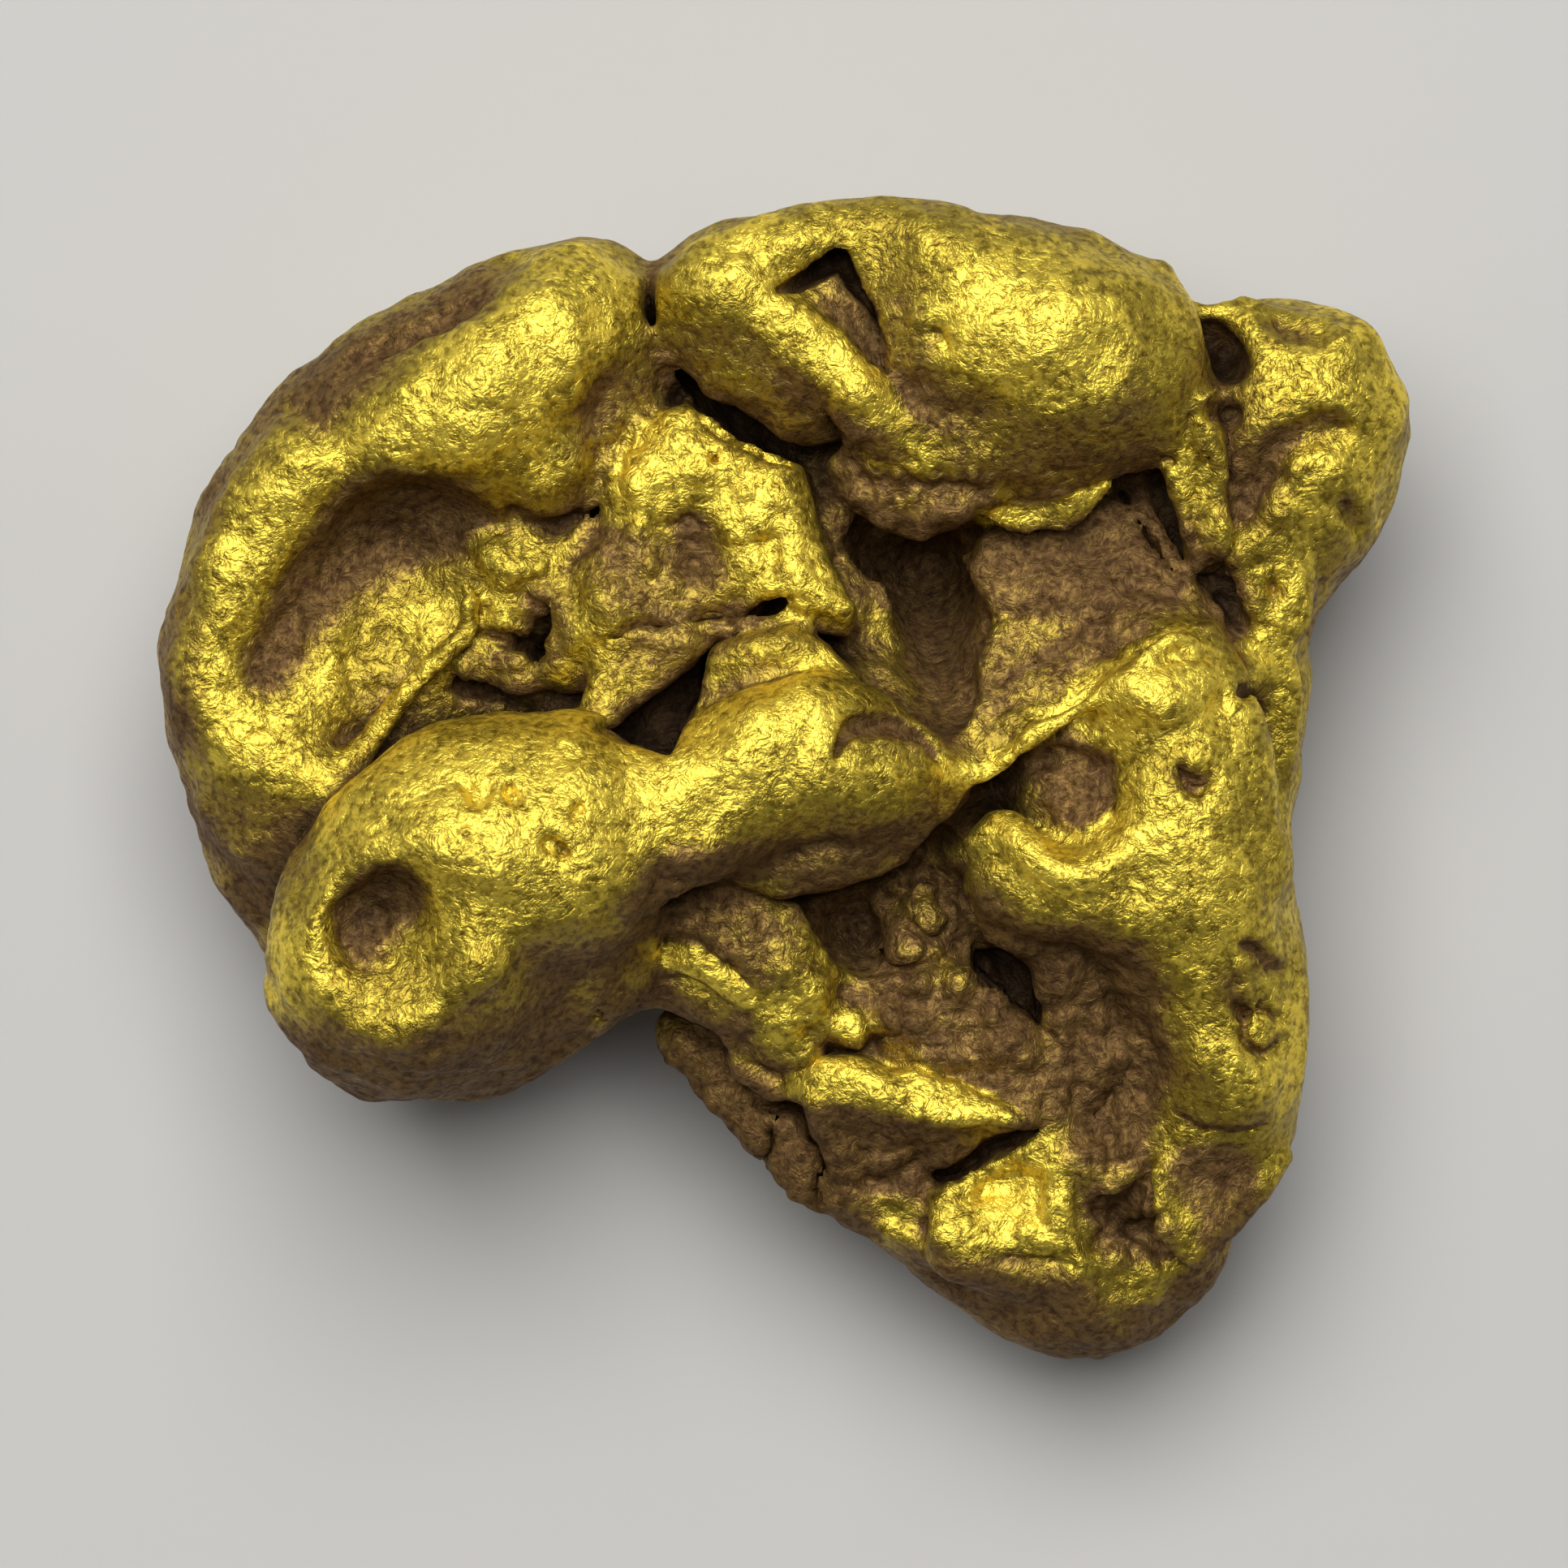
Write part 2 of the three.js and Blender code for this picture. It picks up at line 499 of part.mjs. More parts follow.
const worn = solid(fit(skin())).subtract(solid(below)).getMesh();
const geometry = new THREE.BufferGeometry();
geometry.setAttribute('position', new THREE.BufferAttribute(worn.vertProperties, 3));
geometry.setIndex(new THREE.BufferAttribute(worn.triVerts, 1));
geometry.computeVertexNormals();

const gold = new THREE.MeshStandardMaterial({ color: 0xc9a227, roughness: 0.38, metalness: 1 });
const nugget = new THREE.Mesh(geometry, gold);
nugget.name = 'nugget';

const group = new THREE.Group();
group.add(nugget);

export default group;
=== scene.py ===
"""A water-worn nugget of native gold, lying on its broad side on a pale studio floor.
Metres, +Z up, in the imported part's own frame."""

import math

import bpy
import numpy as np
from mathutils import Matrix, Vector


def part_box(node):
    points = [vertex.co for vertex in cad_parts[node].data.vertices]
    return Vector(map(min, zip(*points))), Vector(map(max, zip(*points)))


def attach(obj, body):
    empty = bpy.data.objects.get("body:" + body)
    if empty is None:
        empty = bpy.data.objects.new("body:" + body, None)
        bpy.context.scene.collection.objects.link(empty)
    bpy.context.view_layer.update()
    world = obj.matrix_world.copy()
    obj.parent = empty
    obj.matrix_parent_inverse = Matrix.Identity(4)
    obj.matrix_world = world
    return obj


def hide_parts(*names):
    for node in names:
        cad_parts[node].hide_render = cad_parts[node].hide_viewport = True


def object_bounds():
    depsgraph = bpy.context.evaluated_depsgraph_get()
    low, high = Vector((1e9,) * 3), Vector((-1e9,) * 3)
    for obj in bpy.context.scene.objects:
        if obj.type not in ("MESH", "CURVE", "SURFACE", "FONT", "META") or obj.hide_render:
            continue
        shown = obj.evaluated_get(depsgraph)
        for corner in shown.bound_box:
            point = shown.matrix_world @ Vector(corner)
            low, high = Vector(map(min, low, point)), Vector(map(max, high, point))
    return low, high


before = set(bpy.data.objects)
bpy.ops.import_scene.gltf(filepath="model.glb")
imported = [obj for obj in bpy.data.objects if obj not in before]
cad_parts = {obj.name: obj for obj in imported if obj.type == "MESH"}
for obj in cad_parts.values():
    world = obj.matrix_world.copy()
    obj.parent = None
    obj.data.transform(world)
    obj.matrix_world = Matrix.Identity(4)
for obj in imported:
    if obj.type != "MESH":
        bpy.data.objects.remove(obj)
cad_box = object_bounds()

# ------------------------------------------------------------------------- the nugget
# One lump of native gold: thick folds rolled over one another and hammered together in a
# stream bed. The high folds are polished and carry painted highlights, the hollows keep a
# brown film of iron earth darkened further with painted shade, and small worn flats
# underneath are what it lies on.

MM = 0.001
CELL = 0.08        # the skin is drawn over a grid of this step, in mm
LOW_CORNER = np.array([-9.5, -8.9, -0.6])  # the grid's corners, in mm
HIGH_CORNER = np.array([9.5, 8.9, 9.0])
SPARE = 3 * CELL                           # grid worked out round a shape, beyond its reach
FACE_RISE = 1                              # and above and below a plate, for its slope
FLAT_LEVEL = 0.05                          # everything below this is worn away, in mm
MARKS_START = 1.5                          # height where marks begin to show, in mm
MARKS_FADE = 1.5                           # and how much higher they are at full strength
FACES = 196000    # triangles in the finished skin

# The cushion of metal under the folds: its outline from above, and its section.
BODY_INSET = 0.45                          # how far it stays inside the outline
BODY_MIDDLE = 2.5                          # height of its widest level
BODY_HALF = 2.0                            # half its thickness
BODY_EDGE = 2.8                            # how far in it reaches full thickness
OUTLINE = [
    (-9.0, 1.6), (-8.8, 0.4), (-8.5, -0.6), (-8.0, -1.4), (-7.5, -2.1), (-7.4, -2.7),
    (-7.0, -3.5), (-6.5, -4.2), (-5.8, -4.6), (-5.1, -4.7), (-4.2, -4.5), (-3.3, -4.05),
    (-2.6, -3.95), (-1.85, -3.65), (-1.25, -4.4), (-0.8, -5.1), (-0.1, -5.6), (0.6, -6.2),
    (1.3, -6.75), (2.15, -7.1), (2.7, -7.65), (3.4, -8.15), (4.3, -8.35), (5.2, -8.1),
    (5.9, -7.6), (6.3, -6.9), (6.9, -6.0), (7.4, -5.2), (7.65, -4.3), (7.8, -3.5),
    (7.65, -2.75), (7.3, -2.1), (7.15, -1.3), (7.3, -0.5), (7.5, 0.3), (7.62, 1.2),
    (7.65, 1.95), (7.95, 2.6), (8.35, 3.0), (8.75, 3.6), (8.95, 4.4), (8.95, 5.2),
    (8.65, 6.0), (8.1, 6.65), (7.3, 6.98), (6.3, 7.0), (5.7, 7.3), (4.9, 7.65),
    (3.7, 7.9), (2.6, 8.2), (1.5, 8.35), (0.3, 8.27), (-0.8, 8.05), (-1.4, 7.75),
    (-2.3, 7.8), (-3.3, 7.6), (-4.2, 7.2), (-5.3, 6.75), (-6.4, 6.1), (-7.2, 5.35),
    (-7.95, 4.45), (-8.45, 3.6), (-8.85, 2.6),
]

# Folds: how widely each flows into its neighbours, how far its section is squashed, and
# its path as x, y, z and radius, all in mm.
FOLDS = {
    # the belly, underneath
    "belly left": (0.8, 1, [(-6.9, 1.2, 2.3, 1.6), (-6.2, 3.4, 1.9, 2), (-3.9, 5.2, 1.9, 1.9)]),
    "belly top": (0.6, 1, [(-0.6, 6.1, 2.6, 1.6), (2, 6, 1.9, 2), (4.6, 5.2, 2.1, 1.9)]),
    "belly middle": (0.6, 1, [
        (-4.8, -2.2, 2.1, 2), (-2, 0.4, 2.1, 1.7), (1.6, 0.9, 2.1, 1.8), (4.6, 1.6, 2.2, 1.7)]),
    "belly right": (0.6, 1, [
        (5.3, -0.6, 2.1, 1.9), (5.6, -3.2, 1.8, 1.85), (4.5, -5.8, 1.6, 1.75)]),
    # the left lobe, a thick rim rolled round a dish
    "left rim": (0.7, 1, [
        (-6.2, -1, 3.6, 1.3), (-7.3, 0.2, 4, 1.4), (-7.4, 1.7, 4.1, 1.55), (-7, 3.1, 4.2, 1.6),
        (-6.2, 4.4, 4.4, 1.6), (-5, 5.2, 4.6, 1.7), (-3.7, 5.9, 4.7, 1.6), (-2.9, 6.2, 4.7, 1.45)]),
    "left crest": (0.6, 1, [
        (-5.3, 4.9, 5.6, 0.9), (-4.4, 5.4, 5.8, 0.95), (-3.7, 6, 5.8, 0.9), (-3, 6.5, 5.5, 0.9)]),
    "left rim edge": (0.4, 1, [
        (-8.25, 1.2, 4.9, 0.5), (-8.2, 2.3, 5.1, 0.5), (-7.7, 3.5, 5.3, 0.5),
        (-6.9, 4.5, 5.4, 0.5)]),
    "left rim low": (0.3, 1, [
        (-8.2, 1.1, 4.9, 0.45), (-7.8, 0.5, 5, 0.45), (-7.1, 0.2, 5.1, 0.42),
        (-6.3, -0.2, 5.1, 0.4)]),
    "left end": (0.4, 0.9, [(-4.3, 4.7, 5.4, 0.9), (-3.6, 4.6, 5.4, 0.85), (-3.4, 4.2, 5.2, 0.6)]),
    "left floor": (0.5, 0.7, [(-5.6, 0.9, 3.9, 1.4), (-4.4, 2.2, 4.1, 1.5), (-3.6, 3.4, 4.2, 1.3)]),
    "left lip": (0.15, 1, [
        (-4.85, 3.4, 5.2, 0.14), (-4.6, 2.9, 5.4, 0.17), (-4.55, 2.4, 5.42, 0.17),
        (-4.75, 1.85, 5.38, 0.17), (-5.2, 1.4, 5.3, 0.17), (-5.7, 0.8, 5.22, 0.17),
        (-6.2, 0.2, 5.2, 0.2)]),
    "left lumps": (0.2, 1, [(-4.1, 3.1, 5, 0.45), (-3.5, 3, 5, 0.4)]),
    "left grain": (0.2, 1, [(-4.1, 2.5, 5, 0.4), (-3.9, 1.6, 4.9, 0.4)]),
    "pit rim": (0.35, 1, [(-3.05, 2.6, 5.2, 0.3), (-3, 1.9, 5.2, 0.3), (-3.15, 1.5, 5.15, 0.28)]),
    "valley floor": (0.4, 0.8, [
        (-2.1, 6, 5.1, 0.6), (-2.4, 5.3, 5.15, 0.65), (-2.6, 4.3, 5, 0.6), (-2.8, 3.5, 4.9, 0.6)]),
    "left shelf": (0.4, 0.8, [(-3.6, 3.3, 4.7, 0.6), (-3.8, 2.3, 4.6, 0.6), (-4, 1.5, 4.5, 0.5)]),
    "left underside": (0.4, 1, [(-7.3, -0.9, 3, 1.1), (-6.8, -1.9, 2.9, 0.9)]),
    # the top lobe, folded over itself along its left side
    "top back": (0.5, 1, [
        (-0.5, 6.7, 4.7, 1.35), (0.9, 6.8, 4.8, 1.45), (2.4, 6.5, 4.9, 1.65), (4.1, 6, 4.9, 1.75),
        (4.7, 5.5, 4.6, 1.3)]),
    "top bulge": (0.5, 0.9, [(2.5, 6.5, 5.7, 1), (3.7, 6.2, 5.9, 1.4), (4.7, 6, 5.7, 1.15)]),
    "top corner": (0.2, 1, [(5.2, 6.9, 5.2, 0.5), (5.4, 6.2, 5.5, 0.5), (5.4, 5.4, 5.4, 0.45)]),
    "top brow": (0.3, 1, [
        (-0.8, 7, 5.7, 0.8), (0.4, 7.6, 5.8, 0.65), (1.8, 7.5, 5.8, 0.7), (2.8, 7, 5.9, 0.9)]),
    "top fold": (0.25, 1, [
        (-1, 6.9, 5.7, 0.75), (-0.2, 6.6, 5.9, 0.65), (0.46, 6.1, 6, 0.55), (1, 5.6, 6, 0.5),
        (1.5, 5.05, 5.85, 0.45)]),
    "top flap": (0.4, 1, [
        (-1.25, 6.45, 5.5, 0.5), (-0.5, 6.05, 5.5, 0.7), (0.15, 5.55, 5.35, 0.65),
        (0.4, 5.15, 5.2, 0.45)]),
    "top cheek": (0.15, 1, [(0.95, 5.2, 5.3, 0.4), (1.3, 4.8, 5.3, 0.4), (1.6, 4.5, 5.3, 0.35)]),
    "top lip": (0.2, 0.9, [
        (0.95, 4.35, 5.1, 0.3), (1.5, 3.95, 5.2, 0.4), (2.1, 3.9, 5.3, 0.45), (2.9, 4.2, 5.3, 0.45),
        (3.8, 4.4, 5.3, 0.5), (4.7, 4.8, 5.2, 0.6)]),
    "top underside": (0.3, 0.8, [(2, 5, 5.5, 0.8), (3.4, 5.1, 5.5, 0.95), (4.8, 5.4, 5.4, 0.85)]),
    # the knob at the top right, and the column that runs down from it
    "knob": (0.5, 1, [(6.9, 5.4, 3.8, 1.5), (7.3, 5.1, 3.9, 1.65), (7.3, 4.3, 3.8, 1.55)]),
    "knob top": (0.3, 1, [(7, 6.1, 4.7, 0.55), (7.9, 5.9, 4.8, 0.7), (8.3, 5.2, 4.7, 0.6)]),
    "knob bar": (0.2, 1, [(7.1, 5.4, 5.2, 0.3), (7.8, 5.4, 5.3, 0.32), (8.4, 5.1, 5, 0.3)]),
    "knob foot": (0.25, 1, [(7.2, 4.3, 4.9, 0.45), (7.8, 4.4, 5, 0.4), (8, 3.9, 4.7, 0.4)]),
    "knob strand": (0.3, 1, [
        (6.1, 6.7, 4.6, 0.35), (6.6, 6.5, 4.8, 0.32), (6.95, 6.05, 4.9, 0.28),
        (6.95, 5.5, 4.8, 0.25)]),
    "knob sill": (0.1, 1, [(6, 5.5, 4.8, 0.14), (6.5, 5.5, 4.9, 0.16), (6.9, 5.3, 5, 0.16)]),
    "column": (0.4, 1, [
        (7.1, 3.4, 3.7, 1.1), (6.6, 2.2, 3.7, 1.05), (6.6, 0.8, 3.6, 1), (6.4, -0.6, 3.6, 1)]),
    "column ridge": (0.15, 1, [
        (7.1, 3.5, 4.7, 0.35), (7.35, 3, 4.75, 0.3), (7.35, 2.5, 4.7, 0.28), (7.1, 2, 4.6, 0.28),
        (7.2, 1.2, 4.4, 0.25), (7.2, 0.3, 4.2, 0.25)]),
    "column lumps": (0.12, 1, [
        (6.7, 3.3, 4.9, 0.3), (6.8, 2.6, 4.75, 0.2), (6.75, 1.6, 4.65, 0.25)]),
    # the thumb, and the bridge from it to the right side
    "thumb": (0.15, 1, [(-3.4, -0.9, 5.9, 1.85), (-4.5, -1.2, 5.9, 1.95), (-5.4, -2.4, 5.4, 2.05)]),
    "thumb underside": (0.5, 1, [
        (-3.2, -2.2, 4.4, 1.5), (-4.6, -2.9, 4.1, 1.7), (-5.4, -2.9, 4.2, 1.7)]),
    "thumb ridge": (0.2, 1, [
        (-6.5, -2.9, 6.65, 0.3), (-5.9, -3.35, 6.75, 0.32), (-5.25, -3.35, 6.9, 0.32),
        (-4.9, -2.9, 7.15, 0.32), (-4.3, -2.6, 7.2, 0.35)]),
    "thumb bumps": (0.12, 1, [
        (-5.4, -0.3, 7.1, 0.2), (-5.3, -0.7, 7.3, 0.22), (-5, -1.1, 7.5, 0.2)]),
    "bridge": (0.35, 0.9, [
        (-2.7, -0.7, 6.2, 1.2), (-1.4, -0.45, 6.2, 1), (-0.4, 0.05, 6.2, 1.1),
        (0.5, 0.35, 6.1, 1.12), (1.3, 0.15, 5.8, 0.95), (2.1, -0.1, 5.5, 0.65)]),
    "bridge crest": (0.3, 1, [
        (-1.5, -0.2, 6.9, 0.3), (-0.6, 0.35, 6.95, 0.3), (0.3, 1, 6.6, 0.35)]),
    "bridge lip": (0.2, 1, [
        (-1.3, -1.2, 5.5, 0.18), (-0.6, -1.35, 5.3, 0.13), (0.1, -1.43, 5.25, 0.12),
        (0.7, -1.43, 5.25, 0.12), (1.2, -1.22, 5.25, 0.13), (1.6, -0.97, 5.3, 0.14),
        (2, -0.7, 5.3, 0.15)]),
    "bridge root": (0.4, 1, [(-2.4, 0, 4, 1.5), (0, 0.5, 4, 1.5), (2.2, 0.4, 4, 1.3)]),
    "bridge lumps": (0.12, 1, [
        (1.25, 0.15, 6.45, 0.24), (1.6, -0.1, 6.3, 0.22), (1.95, -0.2, 6, 0.2)]),
    # the right side, with its peak, crater and long band
    "right mass": (0.5, 1, [
        (5.4, 1.4, 4.4, 1.4), (4.7, 0.2, 4.4, 1.6), (5.5, -1.3, 4.3, 1.7), (6.1, -3, 3.9, 1.45),
        (6.1, -4.8, 3.4, 1.3)]),
    "right peak": (0.4, 0.9, [
        (5.6, 1.7, 5.6, 0.6), (5.4, 0.7, 5.6, 0.9), (5.6, -0.4, 5.6, 1), (5.9, -1.6, 5.3, 1),
        (6.2, -2.9, 4.9, 0.9), (6.3, -4.2, 4.5, 0.85)]),
    "right brow": (0.25, 1, [
        (4.9, 1.1, 6.1, 0.48), (5.3, 1.15, 6.2, 0.45), (5.8, 1.4, 6.05, 0.33)]),
    "right edge": (0.25, 1, [
        (6, 1.9, 5.5, 0.3), (6.35, 0.9, 5.5, 0.4), (6.5, -0.3, 5.4, 0.45),
        (6.75, -1.4, 5.1, 0.45)]),
    "right shoulder": (0.3, 0.9, [
        (3.3, -1.4, 5.3, 0.65), (4.2, -1.7, 5.35, 0.8), (5.2, -1.6, 5.4, 1)]),
    "crater rim": (0.2, 1, [
        (2.95, -0.75, 5.5, 0.35), (3.3, -0.8, 5.8, 0.3), (3.6, -1.15, 5.97, 0.28),
        (4.1, -1.38, 6.05, 0.3), (4.6, -1.25, 6.08, 0.28), (5, -0.85, 6.1, 0.25)]),
    "right flap": (0.15, 1, [
        (2.95, -1.5, 5, 0.35), (3.1, -2.05, 4.9, 0.33), (3.65, -2.3, 4.85, 0.35),
        (4.1, -2.75, 4.6, 0.42), (4.35, -3.4, 4.35, 0.45), (4.65, -4.1, 4.1, 0.5),
        (5, -4.7, 4, 0.45)]),
    "right low ridge": (0.15, 1, [
        (6.9, -2.3, 4.6, 0.35), (7.1, -3.2, 4.3, 0.35), (7.1, -4.2, 4.1, 0.4),
        (6.7, -4.8, 4.2, 0.35)]),
    # the low ground under the bridge, and the bottom
    "under bridge": (0.3, 0.9, [
        (-1.8, -1.8, 4.7, 0.6), (-0.9, -1.95, 4.75, 0.65), (-0.2, -2.35, 4.7, 0.62),
        (0.15, -3, 4.55, 0.55)]),
    "under bridge edge": (0.1, 1, [
        (0.1, -1.9, 4.9, 0.18), (0.5, -2.4, 4.75, 0.18), (0.75, -2.8, 4.5, 0.15)]),
    "lower west": (0.2, 0.9, [
        (-2.3, -2.8, 4, 0.6), (-1.5, -2.8, 4.2, 0.6), (-0.7, -3.1, 4.2, 0.6)]),
    "lower bright": (0.12, 1, [
        (-1.7, -2.6, 4.8, 0.2), (-1.3, -2.6, 4.95, 0.22), (-0.6, -3, 4.75, 0.2)]),
    "lower lump": (0.15, 0.9, [(-0.15, -3.1, 4.4, 0.6), (0.05, -3.7, 4.3, 0.5)]),
    "lower curl": (0.2, 1, [
        (-0.6, -3.7, 4.1, 0.22), (-0.5, -4.1, 4, 0.24), (-0.28, -4.35, 4, 0.22),
        (0.05, -4.4, 4.1, 0.2)]),
    "lower crumb": (0.15, 1, [(0.6, -3.5, 4.4, 0.3), (1, -3.6, 4.4, 0.3), (1.3, -3.4, 4.2, 0.25)]),
    "lower shelf": (0.2, 0.9, [
        (1.3, -3.2, 3.7, 0.5), (2.4, -3.5, 3.75, 0.6), (3.3, -4.1, 3.7, 0.6)]),
    "leaf": (0.2, 0.8, [(1.7, -3.65, 4.2, 0.3), (2.1, -4.1, 4.3, 0.3), (2.35, -4.4, 4.3, 0.2)]),
    "blade": (0.1, 1, [
        (0.2, -4.4, 4.3, 0.25), (0.8, -4.4, 4.5, 0.3), (1.6, -4.6, 4.55, 0.32),
        (2.4, -4.75, 4.5, 0.27), (3.1, -4.9, 4.4, 0.2)]),
    "blade foot": (0.12, 1, [(0.9, -5.9, 3.5, 0.35), (1.6, -6, 3.5, 0.4), (2.1, -6.2, 3.4, 0.4)]),
    "tooth ridge": (0.1, 1, [
        (3.75, -5.4, 4.2, 0.16), (4, -6.2, 4.3, 0.18), (4.27, -6.9, 4.2, 0.2),
        (4.3, -7.4, 3.8, 0.22), (4.55, -7.8, 3.2, 0.25)]),
    "bottom": (0.4, 1, [
        (2.4, -6.6, 2.7, 0.8), (3.3, -6.9, 2.6, 1.1), (4.4, -7.1, 2.6, 1.25),
        (5.4, -6.7, 2.8, 1.1)]),
    "bottom lip": (0.12, 1, [
        (4.4, -7, 3.9, 0.2), (4.7, -7.4, 3.6, 0.24), (5.2, -7.5, 3.45, 0.26),
        (5.9, -7.2, 3.3, 0.24)]),
    "notch rim": (0.2, 1, [
        (-1.3, -3.8, 3, 0.55), (-0.6, -4.6, 3.1, 0.5), (0.3, -5.5, 3.2, 0.5),
        (1.2, -6.2, 3.2, 0.45), (2.1, -6.7, 3.2, 0.4)]),
    "notch lip": (0.1, 1, [(0.7, -6.05, 3.5, 0.2), (1.3, -6.3, 3.6, 0.2), (2, -6.7, 3.6, 0.2)]),
    "notch rim low": (0.3, 1, [(-0.6, -3.9, 2.2, 0.8), (0.8, -5.3, 2.2, 0.9), (2, -6.3, 2.3, 0.8)]),
    "lower floor": (0.3, 0.8, [(1, -4.2, 3, 1), (2.8, -4.2, 3.1, 1), (4, -4.6, 3.3, 1)]),
    "tooth foot": (0.3, 1, [
        (2.5, -6.9, 3.85, 0.4), (3.3, -7.1, 3.75, 0.45), (4, -7.1, 3.75, 0.35)]),
    "bridge skirt": (0.4, 1, [
        (-1.3, -0.95, 5.55, 0.3), (-0.5, -1.02, 5.45, 0.3), (0.6, -1.04, 5.4, 0.3),
        (1.3, -0.8, 5.4, 0.27), (2, -0.5, 5.45, 0.18)]),
}

# Plates: how widely each flows into its neighbours, how round its edge is, its thickness,
# the height of its face at its first corner and how that rises along X and Y, and its
# outline, all in mm.
PLATES = {
    "plateau": (0.3, 0.45, 1.6, (5.85, 0.02, 0.02), [
        (-2.5, 3.4), (-2.4, 4.2), (-2, 4.9), (-1.3, 5.35), (-0.85, 5.15), (-0.3, 4.65), (0.3, 4.4),
        (0.45, 3.75), (0.6, 3.2), (0.9, 2.6), (1.08, 2.25), (0.9, 1.95), (0.3, 2.1), (-0.4, 2.3),
        (-1, 2.3), (-1.8, 2.05), (-2.75, 1.3), (-3, 2.1), (-2.85, 3)]),
    "plate": (0.2, 0.15, 1.6, (4.85, 0.05, -0.3), [
        (2.75, 3.45), (4, 3.95), (5.3, 3.9), (6, 2.6), (5.9, 2.2), (5.2, 1.6), (4.4, 1.1),
        (3.6, 0.6), (3.2, 0.25), (2.8, 0), (2.4, 0.1), (2.5, 0.6), (2.75, 1.1), (2.8, 1.7),
        (2.95, 2.2), (2.7, 2.8)]),
    "step": (0.05, 0.06, 0.6, (5.72, 0.05, -0.3), [
        (2.95, 0.9), (3.5, 1.25), (4.4, 1.75), (5.4, 2.3), (5.8, 2.1), (4.4, 1.1), (3.3, 0.5)]),
    "blade sheet": (0.1, 0.1, 0.5, (4.7, 0, -0.12), [
        (0.15, -4.4), (0.65, -4.05), (1.2, -4.12), (2, -4.3), (2.9, -4.65), (3.65, -5.05),
        (2.7, -4.98), (1.7, -4.85), (0.8, -4.75)]),
    "curtain sheet": (0.12, 0.1, 0.7, (5.95, 0, 0.3), [
        (5.25, 5.3), (6.1, 5.6), (6.3, 4.5), (6.38, 3.7), (6.38, 3), (5.85, 2.95), (5.75, 3.6),
        (5.5, 4.1), (5.3, 4.7)]),
    "tooth": (0.15, 0.12, 1.5, (4.1, 0.05, -0.3), [
        (2.15, -5.95), (2.6, -5.75), (3.7, -5.25), (3.95, -6.1), (4.26, -6.85), (2.75, -6.85),
        (2.15, -6.7)]),
    "block": (0.1, 0.2, 1.1, (4.75, -0.4, 0.15), [
        (5.3, -5.55), (5.75, -5.15), (6.7, -5.05), (7.35, -5.4), (6.9, -6.1), (6, -7), (5.65, -6.7),
        (5.4, -6.1)]),
    "top flake": (0.05, 0.06, 0.2, (5.5, 0, 0.35), [
        (2.75, 3.9), (3, 3.6), (3.35, 3.42), (3.7, 3.55), (4, 3.5), (4.3, 3.75), (4.75, 4.2),
        (4.35, 4.1), (3.95, 4), (3.55, 3.85), (3.15, 3.95)]),
    "slot bank": (0.1, 0.1, 1.2, (5.75, 0, 0), [
        (-2.95, 0.95), (-2.6, 0.68), (-1.9, 1.2), (-1.05, 1.85), (-0.9, 2), (-0.4, 2.05), (0.3, 2),
        (0.3, 2.2), (-0.4, 2.35), (-1, 2.35), (-1.9, 2.15), (-2.8, 1.4)]),
    "blade face": (0.15, 0.15, 1.4, (4.8, 0, 0.75), [
        (0.2, -4.55), (3.2, -4.95), (2.3, -5.75), (1.2, -6.2), (0.6, -5.4)]),
    "apron": (0.15, 0.15, 1.2, (5.85, 0.08, 0), [
        (-1.75, 0.26), (-1.25, 1.1), (-0.98, 1.75), (-0.5, 2.02), (0.15, 2.02), (0.6, 1.8),
        (1.1, 1.45), (0.9, 1.1), (0, 0.9), (-1, 0.2), (-1.4, -0.1)]),
}

# Cuts: the same as the plates, but the metal above the face is taken away.
CUTS = {
    "cleft": (0.08, 0.05, 2.5, (6.4, -0.25, 0), [
        (-0.1, 6.85), (0.4, 7.15), (0.86, 7.5), (1.07, 7.08), (1.3, 6.67), (1.42, 6.2), (1.5, 5.7),
        (1.2, 5.9), (0.8, 6.4), (0.4, 6.75)]),
    "slot": (0.05, 0.05, 2.5, (4.5, 0, 0), [
        (-2.72, 0.66), (-1.9, 1.28), (-1, 1.93), (-1.15, 1.1), (-1.65, 0.16), (-2.2, 0.36)]),
    "flap": (0.05, 0.05, 2.5, (6.35, 0.5, 0.8), [
        (-1.62, 6.5), (-0.96, 6.42), (-0.35, 6.3), (0.15, 5.9), (0.61, 5.5), (0.66, 5.1),
        (0.6, 4.3), (-0.3, 4.4), (-1.1, 5.1), (-1.9, 6.1)]),
    "tooth slope": (0.05, 0.05, 1, (4.5, 0, 0.35), [
        (2.1, -6.3), (3.3, -6.3), (4.2, -6.5), (4.3, -7.1), (2.1, -7.1)]),
    "flank crevice": (0.05, 0.05, 2.5, (3.5, 0, 0), [
        (2.75, -2.3), (3.2, -2.38), (3.62, -2.7), (3.8, -3.2), (3.75, -3.68), (3.4, -3.5),
        (3.05, -3.15), (2.7, -2.8)]),
}

